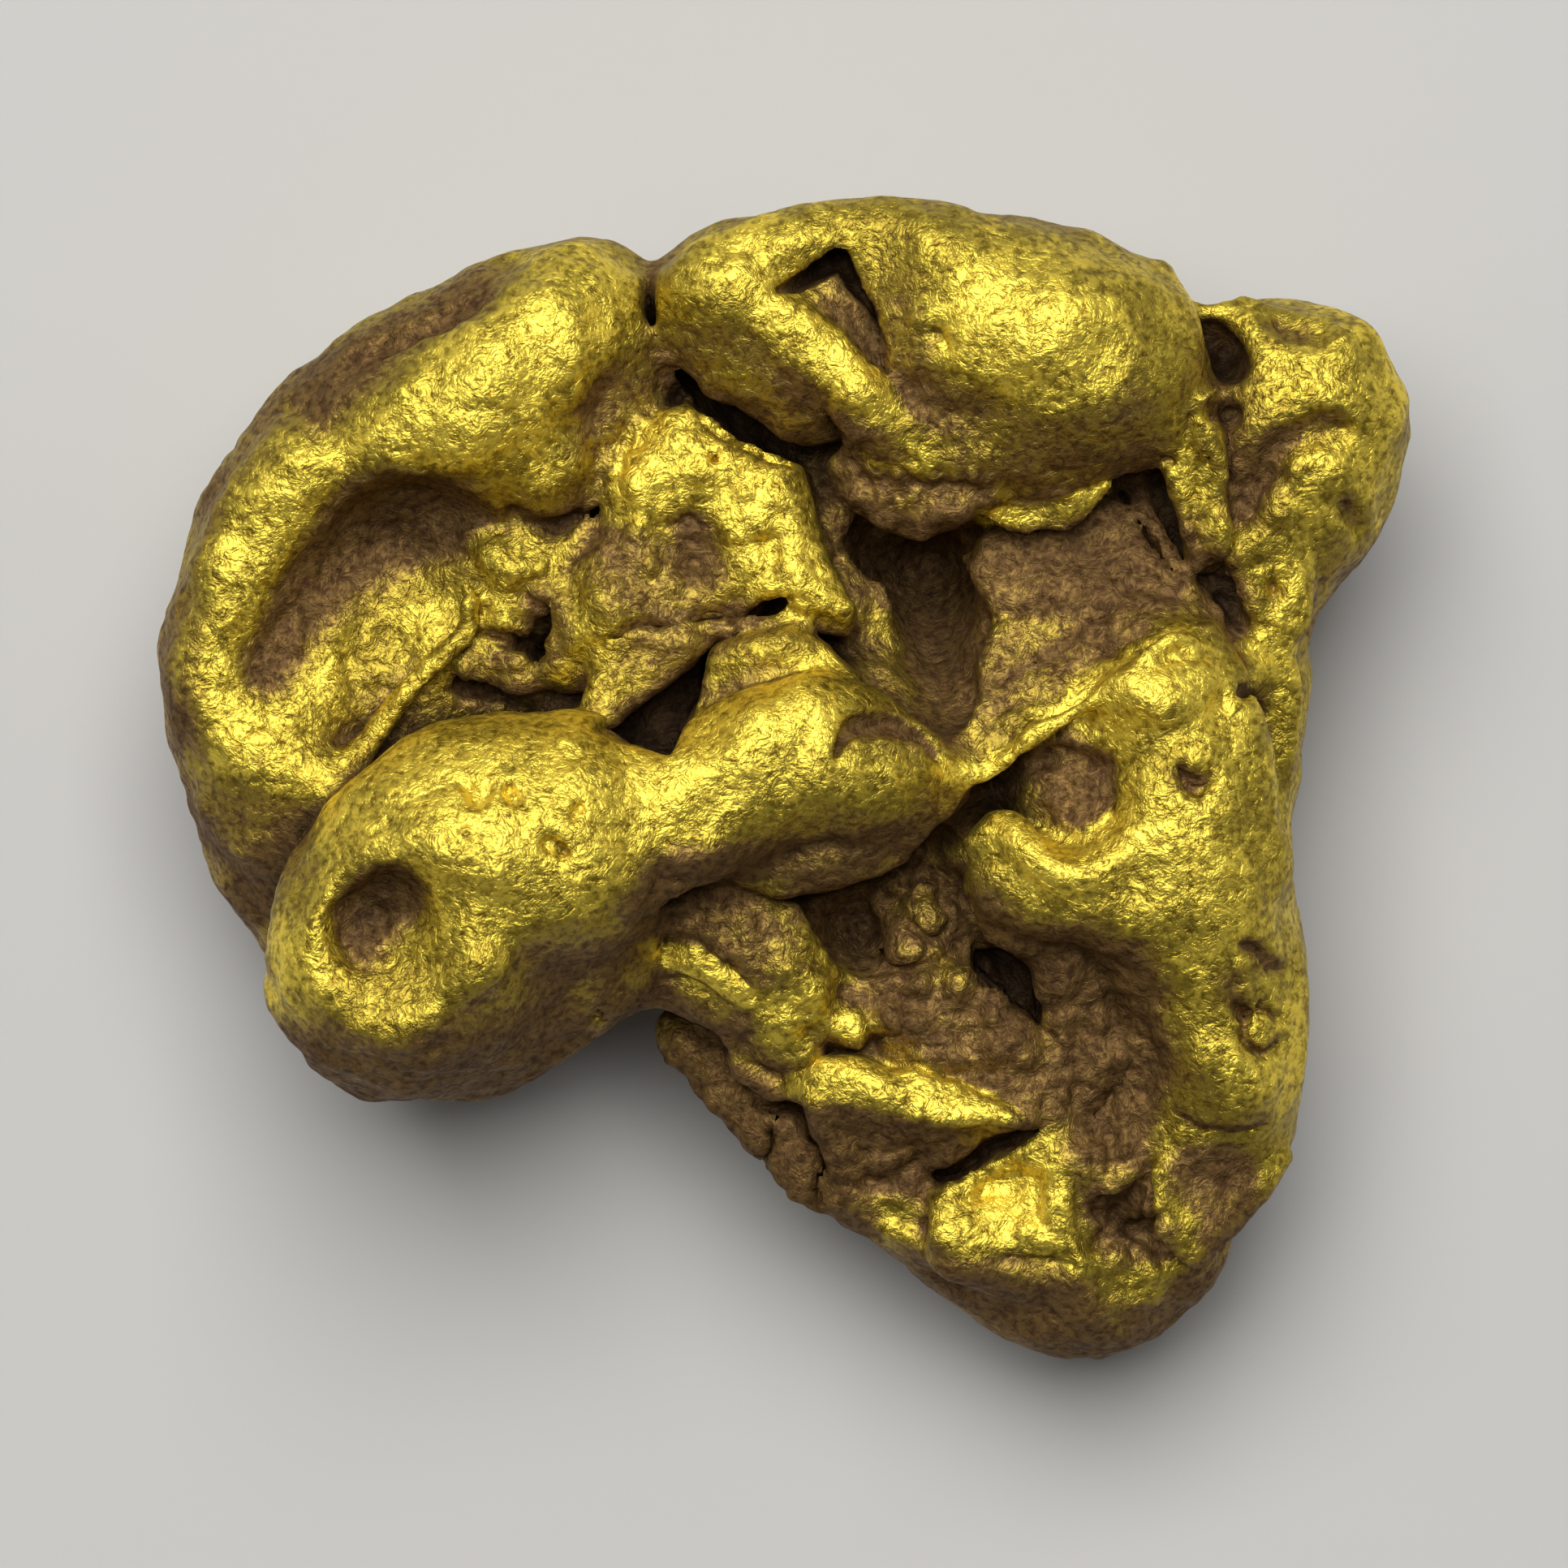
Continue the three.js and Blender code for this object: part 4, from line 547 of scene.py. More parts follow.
RUBBED_AND_HIGHLIGHTS = {
    "left crest": (0.7, 1, [(-4.8, 4.9, 0.2), (-4.1, 5.6, 0.4), (-3, 6.6, 0.3)]),
    "left rim": (0.6, 0.7, [(-8.4, 1.6, 0.2), (-7.8, 3.1, 0.3), (-6.9, 4.6, 0.2)]),
    "left rim low": (0.4, 0.4, [(-8.2, 1.1, 0.2), (-7.5, 0.4, 0.2), (-6.3, -0.2, 0.2)]),
    "thumb": (0.9, 1, [(-5.2, -0.3, 0.2), (-3.6, -0.2, 0.5), (-2.7, -0.4, 0.4)]),
    "bridge": (0.5, 1, [(-1.5, -0.2, 0.2), (-0.5, 0.5, 0.3), (0.4, 1.2, 0.2)]),
    "plateau": (0.6, 0.8, [(-2, 4.4, 0.4), (-1.3, 4.7, 0.4), (-0.5, 4.2, 0.3), (0.3, 2.8, 0.3)]),
    "top": (0.6, 1.3, [(3, 6.4, 0.4), (3.9, 6.1, 0.5)]),
    "top fold": (0.3, 1, [(-0.1, 6.6, 0.15), (0.8, 5.8, 0.15), (1.4, 5.2, 0.1)]),
    "right brow": (0.4, 1.3, [(4.7, 1, 0.4), (5.7, 1.3, 0.4)]),
    "right rim": (0.1, 1, [
        (5.7, 2.1, 0.1), (4.5, 1.2, 0.12), (3.5, 0.5, 0.12), (2.9, 0, 0.15), (2.3, 0.1, 0.12)]),
    "crater rim": (0.35, 1.3, [(3.2, -0.8, 0.2), (4.2, -1.25, 0.3), (5, -0.8, 0.2)]),
    "blade": (0.25, 1, [(0.6, -4.15, 0.15), (1.6, -4.4, 0.2), (3, -4.75, 0.1)]),
    "tooth": (0.3, 1, [(2.7, -6.4, 0.3), (3.5, -6, 0.4), (3.7, -6.6, 0.2)]),
    "lower bright": (0.3, 1, [(-1.6, -2.6, 0.15), (-0.6, -3, 0.12)]),
    "band": (0.6, 0.4, [(6.1, -0.6, 0.3), (6.3, -2.2, 0.3), (6.9, -4.3, 0.4)]),
    "bridge lip": (0.12, 0.4, [
        (-0.9, -1.5, 0.05), (0.1, -1.62, 0.06), (0.8, -1.6, 0.06), (1.6, -1.15, 0.05)]),
    "debris": (0.3, 0.7, [(1.7, -1.8, 0.15), (2.1, -2, 0.25), (2, -2.5, 0.2), (2.6, -2.8, 0.2)]),
    "lip spots": (0.2, 0.8, [(1.3, 4.65, 0.1), (1.9, 4.55, 0.12)]),
    "top flake": (0.12, 1, [
        (2.9, 3.75, 0.1), (3.6, 3.66, 0.12), (4.3, 3.95, 0.12), (4.7, 4.2, 0.05)]),
    "thumb west": (0.4, 0.5, [(-7.2, -2.4, 0.2), (-6.9, -3.2, 0.2)]),
    "shelf": (0.3, 0.25, [(1, -3.4, 0.2), (1.8, -3.6, 0.3), (2.6, -3.9, 0.3)]),
    "lower lump": (0.4, 0.5, [(0.2, -2.6, 0.2), (0.1, -3.6, 0.3)]),
    "top west": (0.6, 0.7, [(-0.9, 7.1, 0.2), (-0.2, 7.3, 0.3)]),
    "thumb mid": (0.4, 0.8, [(-4.9, -1.2, 0.2), (-4.2, -1.5, 0.3)]),
    "column": (0.4, 0.4, [(7, 2.8, 0.2), (7, 1.2, 0.2)]),
    "knob edge": (0.4, 0.3, [(8.6, 5.4, 0.2), (8.6, 4.3, 0.2)]),
}
SPONGY = {
    "plateau": (0.5, 1, [(-1.6, 4.6, 0.7), (-1, 3.4, 0.9), (-1.9, 2.6, 0.7), (0.4, 2.7, 0.5)]),
    "left shelf": (0.4, 1, [(-4.2, 3, 0.4), (-3.6, 2, 0.5), (-4.4, 1.4, 0.3)]),
    "dish floor": (0.6, 0.5, [(-7.2, 1.2, 0.4), (-6, 1.8, 0.6)]),
    "under bridge": (0.4, 0.8, [(-1.6, -1.8, 0.4), (-0.3, -2.4, 0.4), (0, -3.5, 0.5)]),
    "crumbs": (0.3, 2.4, [(1.8, -1.8, 0.3), (2.2, -2.5, 0.4), (3, -3.6, 0.4), (1.8, -3.2, 0.4)]),
    "lower floor": (0.4, 0.9, [(2.4, -3.6, 0.5), (3.6, -4.4, 0.5)]),
    "thumb pit": (0.3, 0.6, [(-5.9, -2, 0.3), (-5.7, -2.6, 0.3)]),
    "crater": (0.3, 0.7, [(4.1, 0, 0.5), (4.4, -0.4, 0.4)]),
    "tooth": (0.3, 0.7, [(2.6, -6.2, 0.4), (3.6, -6.2, 0.5)]),
    "bottom pit": (0.3, 1.5, [(4.6, -5.6, 0.5), (5, -6.6, 0.5)]),
    "notch": (0.3, 1, [(-1.2, -4.3, 0.5), (0.4, -5.8, 0.5)]),
    "knob foot": (0.5, 0.6, [(6.9, 4.6, 0.4), (6.7, 3, 0.5), (6.9, 1.4, 0.4)]),
    "plate": (0.5, 0.3, [(3.4, 1.8, 0.4), (5, 2.6, 0.5)]),
    "top lip": (0.3, 1, [(1, 4.5, 0.3), (1.8, 4, 0.4), (2.6, 4.2, 0.3)]),
    "column pits": (0.3, 1, [(6.3, 3.6, 0.3), (6.5, 2.6, 0.3)]),
    "flank": (0.5, 0.9, [(4, -3, 0.4), (4.7, -4, 0.5), (4.6, -5, 0.4)]),
    "blade face": (0.3, 0.7, [(0.8, -5.2, 0.4), (2, -5.5, 0.4)]),
    "shelf": (0.4, 1.4, [(1.6, -3.4, 0.4), (2.8, -3.8, 0.5)]),
}


def smooth_path(points, steps=5):
    """Points on a Catmull-Rom curve through the given ones: each stretch is the cubic that
    leaves a point along the line between its two neighbours."""
    known = np.array(points, float)
    ends = np.vstack([2 * known[0] - known[1], known, 2 * known[-1] - known[-2]])
    before, start, stop, after = (ends[i:len(ends) - 3 + i, None] for i in range(4))
    t = (np.arange(steps) / steps)[None, :, None]
    curve = 0.5 * (
        2 * start
        + (stop - before) * t
        + (2 * before - 5 * start + 4 * stop - after) * t ** 2
        + (3 * start - before - 3 * stop + after) * t ** 3
    )
    return np.vstack([curve.reshape(-1, known.shape[1]), known[-1:]])


def rope_distance(x, y, z, path, squash):
    """Distance to a rope: the least, over the straight steps of its path, of the distance to
    the step less the radius there; squash flattens the section along Z."""
    nearest = np.inf
    for start, stop in zip(path[:-1], path[1:]):
        run = (stop - start)[:3] / (1, 1, squash)
        off = (x - start[0], y - start[1], (z - start[2]) / squash)
        along = np.clip(sum(o * r for o, r in zip(off, run)) / (run @ run), 0, 1)
        away = np.sqrt(sum((o - along * r) ** 2 for o, r in zip(off, run)))
        nearest = np.minimum(nearest, away - start[3] - along * (stop[3] - start[3]))
    return nearest * squash


def outline_distance(x, y, ring):
    """Distance in plan to a closed outline, negative inside it, by the nearest side and by
    counting the sides that a ray along X crosses."""
    nearest = np.inf
    inside = np.zeros(np.broadcast(x, y).shape, bool)
    for start, stop in zip(ring, np.roll(ring, -1, axis=0)):
        run = stop - start
        off_x = x - start[0]
        off_y = y - start[1]
        along = np.clip((off_x * run[0] + off_y * run[1]) / (run @ run), 0, 1)
        nearest = np.minimum(nearest, np.hypot(off_x - along * run[0], off_y - along * run[1]))
        if run[1]:
            inside ^= ((start[1] > y) != (stop[1] > y)) & (off_x < off_y * run[0] / run[1])
    return np.where(inside, -nearest, nearest)


def flow_together(one, other, width):
    """The lesser of two distances, with the corner between them filled over a width."""
    overlap = np.maximum(width - np.abs(one - other), 0) / width
    return np.minimum(one, other) - overlap ** 2 * width / 4


def near_part(axes, low, high):
    """The part of the grid between two corners, as slices and as coordinates to broadcast."""
    spans = tuple(slice(*np.searchsorted(axis, (lo, hi))) for axis, lo, hi in zip(axes, low, high))
    shapes = [(-1, 1, 1), (1, -1, 1), (1, 1, -1)]
    return spans, [axis[span].reshape(shape) for axis, span, shape in zip(axes, spans, shapes)]


def lay_rope(distance, axes, blend, squash, points, sign):
    """Flows a rope into the grid of distances, or takes it away where sign is -1."""
    path = smooth_path(points)
    reach = path[:, 3].max() + blend + SPARE
    span, (x, y, z) = near_part(axes, path[:, :3].min(0) - reach, path[:, :3].max(0) + reach)
    rope = rope_distance(x, y, z, path, squash)
    distance[span] = sign * flow_together(sign * distance[span], rope, blend)


def lay_plate(distance, axes, blend, edge, thickness, face, corners, sign):
    """Flows a plate into the grid: inside its outline and between its face and its back,
    with a round edge. Where sign is -1 the plate is air, and lies above its face."""
    ring = np.array(corners, float)
    height, rise_x, rise_y = face
    margin = thickness + FACE_RISE
    low = (*(ring.min(0) - blend - SPARE), height - margin)
    high = (*(ring.max(0) + blend + SPARE), height + margin)
    span, (x, y, z) = near_part(axes, low, high)
    middle = height + rise_x * (x - ring[0, 0]) + rise_y * (y - ring[0, 1]) - sign * thickness / 2
    across = outline_distance(x, y, ring) + edge
    up = np.abs(z - middle) - thickness / 2 + edge
    rounded = np.hypot(np.maximum(across, 0), np.maximum(up, 0))
    plate = np.minimum(np.maximum(across, up), 0) + rounded - edge
    distance[span] = sign * flow_together(sign * distance[span], plate, blend)


def under_skin(distance, axes, points):
    """Points whose third number is a depth, with it turned into z: the height of the topmost
    metal over the point, less the depth."""
    settled = []
    for x, y, depth, radius in points:
        column = distance[np.searchsorted(axes[0], x), np.searchsorted(axes[1], y)]
        settled.append((x, y, axes[2][np.flatnonzero(column < 0).max()] - depth, radius))
    return settled


def nugget_distance():
    """The grid of distances to the nugget's surface, and its axes: the cushion, then the
    folds and plates flowed into it, the cuts and hollows taken out, the strands laid in, the
    skin nicked, and the flats worn off."""
    axes = [np.arange(lo, hi, CELL) for lo, hi in zip(LOW_CORNER, HIGH_CORNER)]
    x, y, z = near_part(axes, LOW_CORNER, HIGH_CORNER + CELL)[1]
    ring = smooth_path(OUTLINE + OUTLINE[:1], 3)[:-1]
    across = np.maximum(outline_distance(x, y, ring) + BODY_INSET + BODY_EDGE, 0)
    flatness = BODY_HALF / BODY_EDGE
    distance = (np.hypot(across, (z - BODY_MIDDLE) / flatness) - BODY_EDGE) * flatness
    for rope in FOLDS.values():
        lay_rope(distance, axes, *rope, 1)
    for plate in PLATES.values():
        lay_plate(distance, axes, *plate, 1)
    for cut in CUTS.values():
        lay_plate(distance, axes, *cut, -1)
    for rope in HOLLOWS.values():
        lay_rope(distance, axes, *rope, -1)
    for rope in STRANDS.values():
        lay_rope(distance, axes, *rope, 1)
    for blend, squash, points in NICKS.values():
        lay_rope(distance, axes, blend, squash, under_skin(distance, axes, points), -1)
    return np.maximum(distance, FLAT_LEVEL - z), axes


def surface_net(distance):
    """The zero level of a grid as a net, in grid steps: a knot in every cell that the surface
    passes through, at the mean of where it crosses the cell's edges, and a four-sided mesh
    round every grid edge that it crosses."""
    inside = distance < 0
    strides = np.array([distance.shape[1] * distance.shape[2], distance.shape[2], 1])
    cells, places, rounds = [], [], []
    for axis in range(3):
        ahead = np.roll(distance, -1, axis)
        start = np.argwhere(inside != np.roll(inside, -1, axis))
        value = distance[tuple(start.T)]
        place = start.astype(float)
        place[:, axis] += value / (value - ahead[tuple(start.T)])
        one, other = strides[(axis + 1) % 3], strides[(axis + 2) % 3]
        at = start @ strides
        around = np.stack([at - one - other, at - other, at, at - one], 1)
        cells.append(around.ravel())
        places.append(np.repeat(place, 4, 0))
        rounds.append(np.where((value < 0)[:, None], around, around[:, ::-1]))
    used, knot = np.unique(np.concatenate(cells), return_inverse=True)
    place = np.concatenate(places)
    crossings = np.bincount(knot)
    knots = np.stack([np.bincount(knot, place[:, i]) / crossings for i in range(3)], 1)
    return knots, np.searchsorted(used, np.concatenate(rounds))


def outer_shell(knots, meshes):
    """Keeps the largest shell of a net. Each knot takes the lowest number met along its
    meshes, again and again, until the numbers no longer change."""
    label = np.arange(len(knots))
    while True:
        lowest = label.copy()
        np.minimum.at(lowest, meshes.ravel(), np.repeat(label[meshes].min(1), 4))
        lowest = lowest[lowest]
        if np.array_equal(lowest, label):
            break
        label = lowest
    kept = label == np.bincount(label).argmax()
    number = np.cumsum(kept) - 1
    return knots[kept], number[meshes[kept[meshes[:, 0]]]]


def evened(knots, meshes, rounds, share):
    """Moves every knot a share of the way to the mean of its neighbours, some rounds over."""
    tail = meshes.ravel()
    head = np.roll(meshes, -1, 1).ravel()
    ends = np.concatenate([tail, head])
    others = np.concatenate([head, tail])
    count = np.bincount(ends)[:, None]
    for _ in range(rounds):
        total = np.stack([np.bincount(ends, knots[others, i]) for i in range(3)], 1)
        knots = knots + share * (total / count - knots)
    return knots


def knot_normals(knots, meshes):
    """Unit normals at the knots: the sum of the crossed diagonals of the meshes round each."""
    a, b, c, d = (knots[meshes[:, i]] for i in range(4))
    face = np.cross(c - a, d - b)
    at = meshes.ravel()
    total = np.stack([np.bincount(at, np.repeat(face[:, i], 4), len(knots)) for i in range(3)], 1)
    return total / np.linalg.norm(total, axis=1, keepdims=True)


def sampled(grid, places):
    """Values of a grid at places given in grid steps, blended between the eight corners."""
    low = np.clip(places.astype(int), 0, np.array(grid.shape) - 2)
    part = places - low
    total = 0
    for corner in np.ndindex(2, 2, 2):
        share = np.prod(np.where(corner, part, 1 - part), axis=1)
        total = total + share * grid[tuple((low + corner).T)]
    return total


def blurred(grid, half):
    """A grid averaged over a window of half steps each way, by running sums, twice over so
    that near places weigh more."""
    window = 2 * half + 1
    for axis in (0, 0, 1, 1, 2, 2):
        rows = np.pad(np.moveaxis(grid, axis, 0), [(half + 1, half), (0, 0), (0, 0)], "edge")
        sums = np.cumsum(rows, 0, dtype=np.float64)
        means = (sums[window:] - sums[:-window]) / window
        grid = np.moveaxis(means.astype(np.float32), 0, axis)
    return grid


def hollowness(metal, knots, reach):
    """How far each knot lies in a hollow: twice the share of metal within reach of it, less
    the half that a flat face has."""
    return (sampled(blurred(metal, round(reach / CELL)), knots) - 0.5) * 2


def ripple(places, size, height, seed):
    """Smooth noise up to a height either way: random values on a lattice of the given size,
    blended by an S-curve between the eight round each place."""
    steps = places / size
    steps = steps - np.floor(steps.min(0))
    lattice = np.random.default_rng(seed).uniform(-1, 1, np.ceil(steps.max(0)).astype(int) + 2)
    low = np.floor(steps)
    part = steps - low
    return height * sampled(lattice, low + part * part * (3 - 2 * part))


def marked(places, normal, marks):
    """How strongly the marks cover each place, seen from above: 1 inside a mark's path,
    fading to 0 outside it, in ragged patches on steep sides, and none on the underside."""
    x, y, z = places.T
    cover = 0
    for fade, strength, points in marks.values():
        path = smooth_path([(at_x, at_y, 0, radius) for at_x, at_y, radius in points])
        away = rope_distance(x, y, 0, path, 1)
        cover = np.maximum(cover, strength * np.clip(1 - away / fade, 0, 1))
    steepness = 1 - normal[:, 2]
    facing = np.clip(1.75 - 1.5 * steepness + steepness * ripple(places, *RAGGED), 0, 1)
    return cover * facing * np.clip((z - MARKS_START) / MARKS_FADE, 0, 1)


# How far round a knot its creases and hollows are felt, in mm.
CREASE_REACH = 0.14
HOLLOW_REACH = 0.55

# How much film and painted shade each cause adds, and how much the stream's rubbing and the painted
# highlights take away.
CREASE_FILM_AND_SHADE = 1.4
HOLLOW_FILM_AND_SHADE = 1.2
FLANK_SHADE = 0.6
STAIN_AND_SHADE_FILM = 0.7
SIDE_SHADE = 0.6
SPONGE_FILM = 0.2
RUBBED_AND_HIGHLIGHT_FILM = 0.8
# The flanks that face this way, away from the key light, get painted shade.
SHADED_WAY = (0, -1, -0.45)             # towards the nugget's short side and the bed

# Ripples, as the size of their waves, their height, and the number that their lattice is
# drawn from: in the line of every edge, in the film and painted shade and the marks, and in
# the metal, in mm.
WANDER = [(1.1, 0.09, 11), (0.5, 0.05, 21)]
PATCHES = [(1.3, 0.16, 5), (0.45, 0.10, 6)]
RAGGED = (1.0, 0.6, 31)
DENTS = [(1.9, 0.06, 1), (0.85, 0.06, 2)]
FACETS = [(0.5, 0.06, 3), (0.27, 0.045, 4)]
GRAIN = (0.17, 0.02, 7)

distance, axes = nugget_distance()
knots, meshes = outer_shell(*surface_net(distance))
knots = evened(knots, meshes, rounds=2, share=0.5)
metal = np.clip(0.5 - distance / CELL, 0, 1).astype(np.float32)
crease = hollowness(metal, knots, CREASE_REACH)
hollow = hollowness(metal, knots, HOLLOW_REACH)

# Every edge and groove wanders a little from its smooth path, but the flats stay flat.
places = knots * CELL + LOW_CORNER
worn = places[:, 2] < FLAT_LEVEL + 0.5 * CELL
wander = [
    sum(ripple(places, size, height, seed + axis) for size, height, seed in WANDER) for axis in range(3)]
places = places + np.where(worn[:, None], 0, np.stack(wander, 1))
normal = knot_normals(places, meshes)

# The film of iron earth gathers in creases and hollows, on the stains and where the metal is
# spongy. The same sum carries painted shade: darker in creases and hollows, on the marks laid
# where slopes lie in shade, on steep sides, and on the flanks that face away from the key
# light.
# Brown stains, and painted shade on slopes and undersides that lie in shade.
stained_and_shaded = marked(places, normal, STAINS_AND_SHADE)
# Rubbed gold, and painted highlights on the crests that catch the key light.
rubbed_and_highlight = marked(places, normal, RUBBED_AND_HIGHLIGHTS)
spongy = marked(places, normal, SPONGY)
# Painted shade on the flanks that face away from the key light.
shaded_side = np.clip((normal @ SHADED_WAY + 0.1) / 0.7, 0, 1)
# Steep sides darker: painted shade.
steep_shade = np.clip(0.5 - normal[:, 2], 0, 0.5)
film_and_shade = CREASE_FILM_AND_SHADE * np.clip(crease, 0, 1) + HOLLOW_FILM_AND_SHADE * np.clip(hollow, -0.12, 1)
film_and_shade += FLANK_SHADE * shaded_side + STAIN_AND_SHADE_FILM * stained_and_shaded - RUBBED_AND_HIGHLIGHT_FILM * rubbed_and_highlight
film_and_shade += SIDE_SHADE * steep_shade + SPONGE_FILM * spongy
film_and_shade += sum(ripple(places, *wave) for wave in PATCHES)
film_and_shade = np.clip(film_and_shade, -0.3, 0.9)
# Near black in the deepest hollows: packed earth and painted shade.
packed_and_shade = np.clip((hollow - 0.2) / 0.35, 0, 1)

# Relief along the normals: broad dents, hammered facets, and a crumpled grain that is
# strongest where the metal is spongy or the film and painted shade lie thick.
coarse = 0.6 + 0.7 * np.clip(film_and_shade, 0, 1) + 1.3 * spongy
coarse *= np.clip(0.5 + normal[:, 2], 0.4, 1)
relief = sum(ripple(places, *wave) for wave in DENTS)
relief += coarse * sum(np.abs(ripple(places, *wave)) for wave in FACETS)
relief += coarse * ripple(places, *GRAIN)
places = places + normal * np.where(worn, 0, relief)[:, None]

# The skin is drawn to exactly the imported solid's box.
low, high = (np.array(corner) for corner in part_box("nugget"))
places = low + (places - places.min(0)) / np.ptp(places, axis=0) * (high - low)

mesh = bpy.data.meshes.new("nugget_skin")
mesh.from_pydata(places, [], meshes)
for name, values in (("film_and_shade", film_and_shade), ("rubbed_and_highlight", rubbed_and_highlight), ("packed_and_shade", packed_and_shade)):
    mesh.attributes.new(name, "FLOAT", "POINT").data.foreach_set("value", values.astype(np.float32))
mesh.shade_smooth()
skin = bpy.data.objects.new("nugget_skin", mesh)
bpy.context.collection.objects.link(skin)
thin = skin.modifiers.new("thin", "DECIMATE")
thin.ratio = min(1, FACES / (2 * len(meshes)))

# The gold at full and at half brightness: the bright one is polished gold and painted highlight, the
# olive one dulled gold and painted shade.
POLISHED = (0.92, 0.71, 0.09)      # gold kept bright by the stream
OLIVE = (0.46, 0.345, 0.042)       # the same gold, dulled
TARNISHED = (0.27, 0.165, 0.045)   # gold under a thin film
FILM = (0.14, 0.075, 0.028)        # thick brown film of iron earth
# Near black: dark earth and painted shade in the deepest hollows.
PACKED_AND_SHADE = (0.03, 0.016, 0.006)      # dark earth packed in the deepest hollows
SHADE = (0.5, 0.45, 0.4)           # the share of colour left in the smallest pits
BUMP_HEIGHT = 0.06 * MM            # of the finest pits and grain

gold = bpy.data.materials.new("native_gold")
gold.use_nodes = True
nodes = gold.node_tree.nodes
links = gold.node_tree.links
shader = nodes["Principled BSDF"]
shader.inputs["Specular IOR Level"].default_value = 0.2
coordinates = nodes.new("ShaderNodeTexCoord").outputs["Object"]


def attribute(name):
    """A value stored on the skin's knots."""
    node = nodes.new("ShaderNodeAttribute")
    node.attribute_name = name
    return node.outputs["Fac"]


def noise(size, detail, distortion):
    """Smooth noise whose lumps are about size across, in mm, from 0 to 1."""
    node = nodes.new("ShaderNodeTexNoise")
    node.inputs["Scale"].default_value = 1 / (size * MM)
    node.inputs["Detail"].default_value = detail
    node.inputs["Roughness"].default_value = 0.6
    node.inputs["Distortion"].default_value = distortion
    links.new(coordinates, node.inputs["Vector"])
    return node.outputs["Fac"]


def worked(operation, *values):
    """The result of a sum on sockets or numbers."""
    node = nodes.new("ShaderNodeMath")
    node.operation = operation
    for socket, value in zip(node.inputs, values):
        if isinstance(value, float):
            socket.default_value = value
        else:
            links.new(value, socket)
    return node.outputs[0]


def added(first, *others):
    """Several values added up."""
    for other in others:
        first = worked("ADD", first, other)
    return first


def spread(value, low, high, to_low=0.0, to_high=1.0):
    """A value stretched from one range to another, and held inside it."""
    node = nodes.new("ShaderNodeMapRange")
    ends = {"From Min": low, "From Max": high, "To Min": to_low, "To Max": to_high}
    for name, number in ends.items():
        node.inputs[name].default_value = number
    links.new(value, node.inputs["Value"])
    return node.outputs["Result"]


def blend(share, under, over, way="MIX"):
    """One colour laid over another by a share."""
    node = nodes.new("ShaderNodeMix")
    node.data_type = "RGBA"
    node.blend_type = way
    links.new(share, node.inputs["Factor"])
    for socket, colour in ((node.inputs[6], under), (node.inputs[7], over)):
        if isinstance(colour, tuple):
            socket.default_value = (*colour, 1)
        else:
            links.new(colour, socket)
    return node.outputs[2]


# Three sizes of unevenness in the skin, and the fine lines along which the middle one turns.
mottle = noise(0.9, 4, 0.6)
pitting = noise(0.26, 3, 0.6)
speckle = noise(0.13, 2, 0.3)
seams = spread(worked("ABSOLUTE", worked("SUBTRACT", pitting, 0.5)), 0, 0.05, 1, 0)

# Where the film and painted shade are thick they hide the gold, and break up at their edge.
film_and_shade_edge = added(
    worked("MAXIMUM", attribute("film_and_shade"), -0.1),
    spread(mottle, 0.3, 0.7, -0.14, 0.14),
    spread(speckle, 0.3, 0.7, 0.15, -0.15),
    worked("MULTIPLY", seams, 0.12),
)
film_and_shade_cover = spread(film_and_shade_edge, 0.45, 1.05)
# Rubbed gold and painted highlights: the gold turns brighter there.
wear_and_highlight = worked("MULTIPLY", attribute("rubbed_and_highlight"), 0.3)
# Dulled gold and painted shade: the gold turns to its half-bright olive copy where the film and shade
# sum is high, and at random under the mottle.
dulled_and_shaded = added(mottle, worked("SUBTRACT", film_and_shade_edge, wear_and_highlight))
colour = blend(spread(dulled_and_shaded, 0.15, 0.60), POLISHED, OLIVE)
colour = blend(spread(film_and_shade_edge, 0.12, 0.70), colour, TARNISHED)
colour = blend(film_and_shade_cover, colour, FILM)
colour = blend(attribute("packed_and_shade"), colour, PACKED_AND_SHADE)
colour = blend(spread(speckle, 0.56, 0.30), colour, SHADE, "MULTIPLY")
links.new(colour, shader.inputs["Base Color"])
links.new(spread(film_and_shade_edge, 0.2, 1, 0.95, 0.6), shader.inputs["Metallic"])
rough = added(spread(pitting, 0.3, 0.7, 0.46, 0.56), spread(film_and_shade_cover, 0, 1, 0, 0.2))
links.new(rough, shader.inputs["Roughness"])
bump = nodes.new("ShaderNodeBump")
bump.inputs["Distance"].default_value = BUMP_HEIGHT
height = added(pitting, worked("MULTIPLY", speckle, 0.6))
links.new(worked("SUBTRACT", height, worked("MULTIPLY", seams, 0.1)), bump.inputs["Height"])
links.new(bump.outputs["Normal"], shader.inputs["Normal"])
mesh.materials.append(gold)

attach(skin, "root")
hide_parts("nugget")

# ------------------------------------------------------------------------- the studio
# A pale floor that curves up all round, one large soft light high behind the top of the
# nugget, a weaker one on each side, and a camera straight above.

FLOOR_RADIUS = 0.5
FLOOR_MIDDLE = 0.0001           # radius of the flat piece that closes the middle
SWEEP_HEIGHT = 0.3
PAPER = (0.52, 0.51, 0.49)
LIGHTS = {                      # where each is, its side, and its power in watts
    "key": ((-0.02, 0.10, 0.25), 0.2, 0.95),
    "fill_left": ((-0.26, 0.06, 0.12), 0.10, 0.05),
    "fill_right": ((0.26, 0.08, 0.12), 0.10, 0.05),
}
ROOM_LIGHT = 0.065
FRAME_WIDTH = 0.02254           # what the camera sees across the nugget's middle
LENS = 250                      # its lens and sensor, in mm
SENSOR = 36
CENTRE = (Vector(cad_box[0]) + Vector(cad_box[1])) / 2


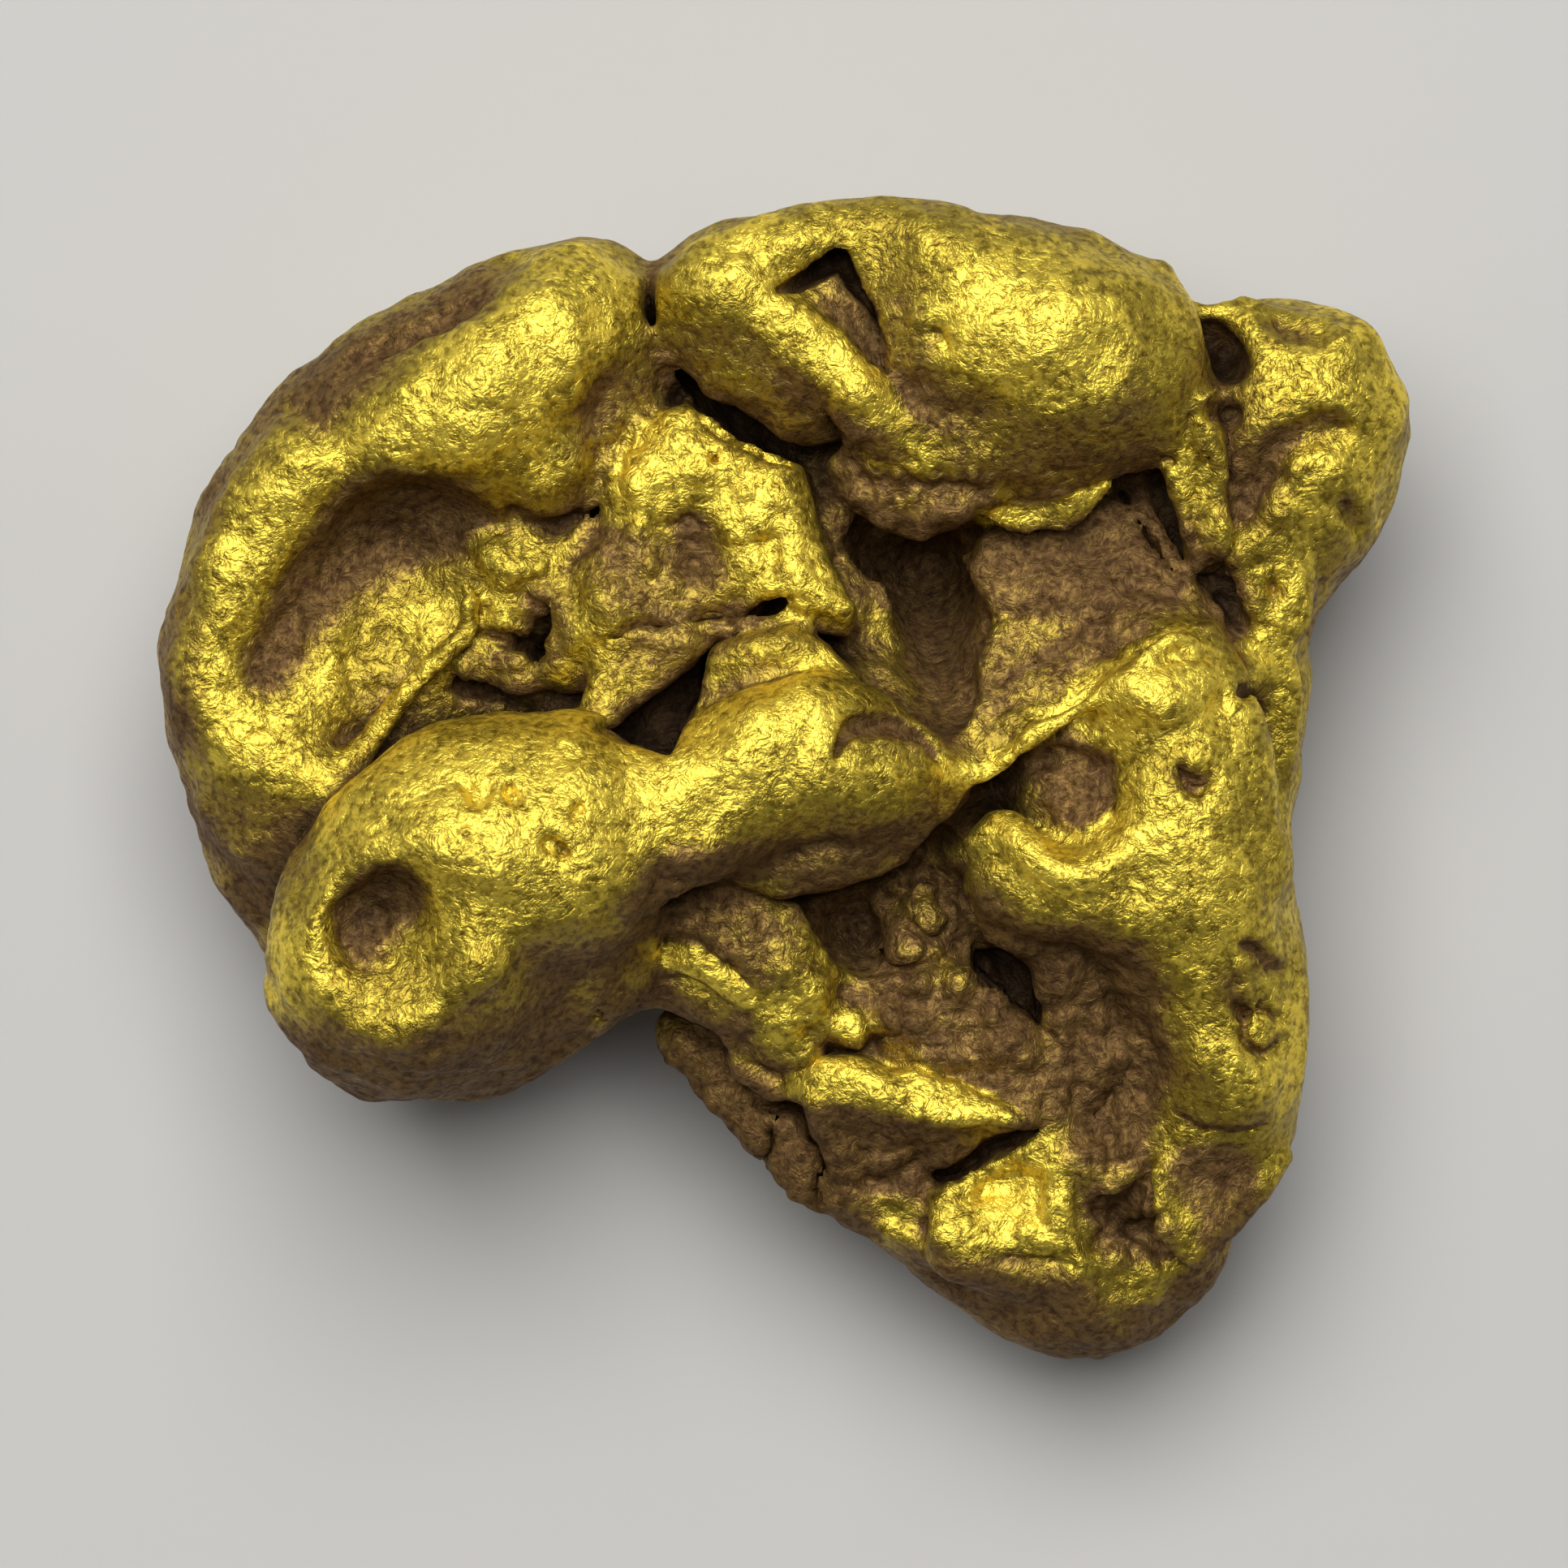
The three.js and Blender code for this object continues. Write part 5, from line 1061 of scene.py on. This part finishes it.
def bowl(rings=48, spokes=96):
    """A floor as a bowl: flat to half its radius, then rising by the square of the way out."""
    out = FLOOR_RADIUS * np.linspace(0, 1, rings)[:, None] ** 1.5 + FLOOR_MIDDLE
    turn = np.linspace(0, 2 * math.pi, spokes, endpoint=False)[None, :]
    rise = SWEEP_HEIGHT * np.clip(2 * out / FLOOR_RADIUS - 1, 0, None) ** 2
    grid = np.stack(np.broadcast_arrays(out * np.cos(turn), out * np.sin(turn), rise), -1)
    index = np.arange(rings * spokes).reshape(rings, spokes)
    side = np.roll(index, -1, 1)
    quads = np.stack([index[:-1], index[1:], side[1:], side[:-1]], -1).reshape(-1, 4)
    return grid.reshape(-1, 3), [*quads.tolist(), index[0].tolist()]


points, faces = bowl()
floor_mesh = bpy.data.meshes.new("floor")
floor_mesh.from_pydata(points, [], faces)
floor_mesh.shade_smooth()
floor = bpy.data.objects.new("floor", floor_mesh)
bpy.context.collection.objects.link(floor)
paper = bpy.data.materials.new("pale_paper")
paper.use_nodes = True
surface = paper.node_tree.nodes["Principled BSDF"]
surface.inputs["Base Color"].default_value = (*PAPER, 1)
surface.inputs["Roughness"].default_value = 0.9
floor_mesh.materials.append(paper)

for name, (place, side, watts) in LIGHTS.items():
    lamp = bpy.data.lights.new(name, "AREA")
    lamp.size = side
    lamp.energy = watts
    light = bpy.data.objects.new(name, lamp)
    light.location = place
    light.rotation_euler = (light.location - CENTRE).to_track_quat("Z", "Y").to_euler()
    bpy.context.collection.objects.link(light)

world = bpy.data.worlds.new("studio")
world.use_nodes = True
world.node_tree.nodes["Background"].inputs["Color"].default_value = (1, 1, 1, 1)
world.node_tree.nodes["Background"].inputs["Strength"].default_value = ROOM_LIGHT
bpy.context.scene.world = world
bpy.context.scene.view_settings.view_transform = "Standard"

lens = bpy.data.cameras.new("camera")
lens.lens = LENS
lens.sensor_width = SENSOR
camera = bpy.data.objects.new("camera", lens)
camera.location = (0, 0, CENTRE.z + FRAME_WIDTH * LENS / SENSOR)
bpy.context.collection.objects.link(camera)
bpy.context.scene.camera = camera
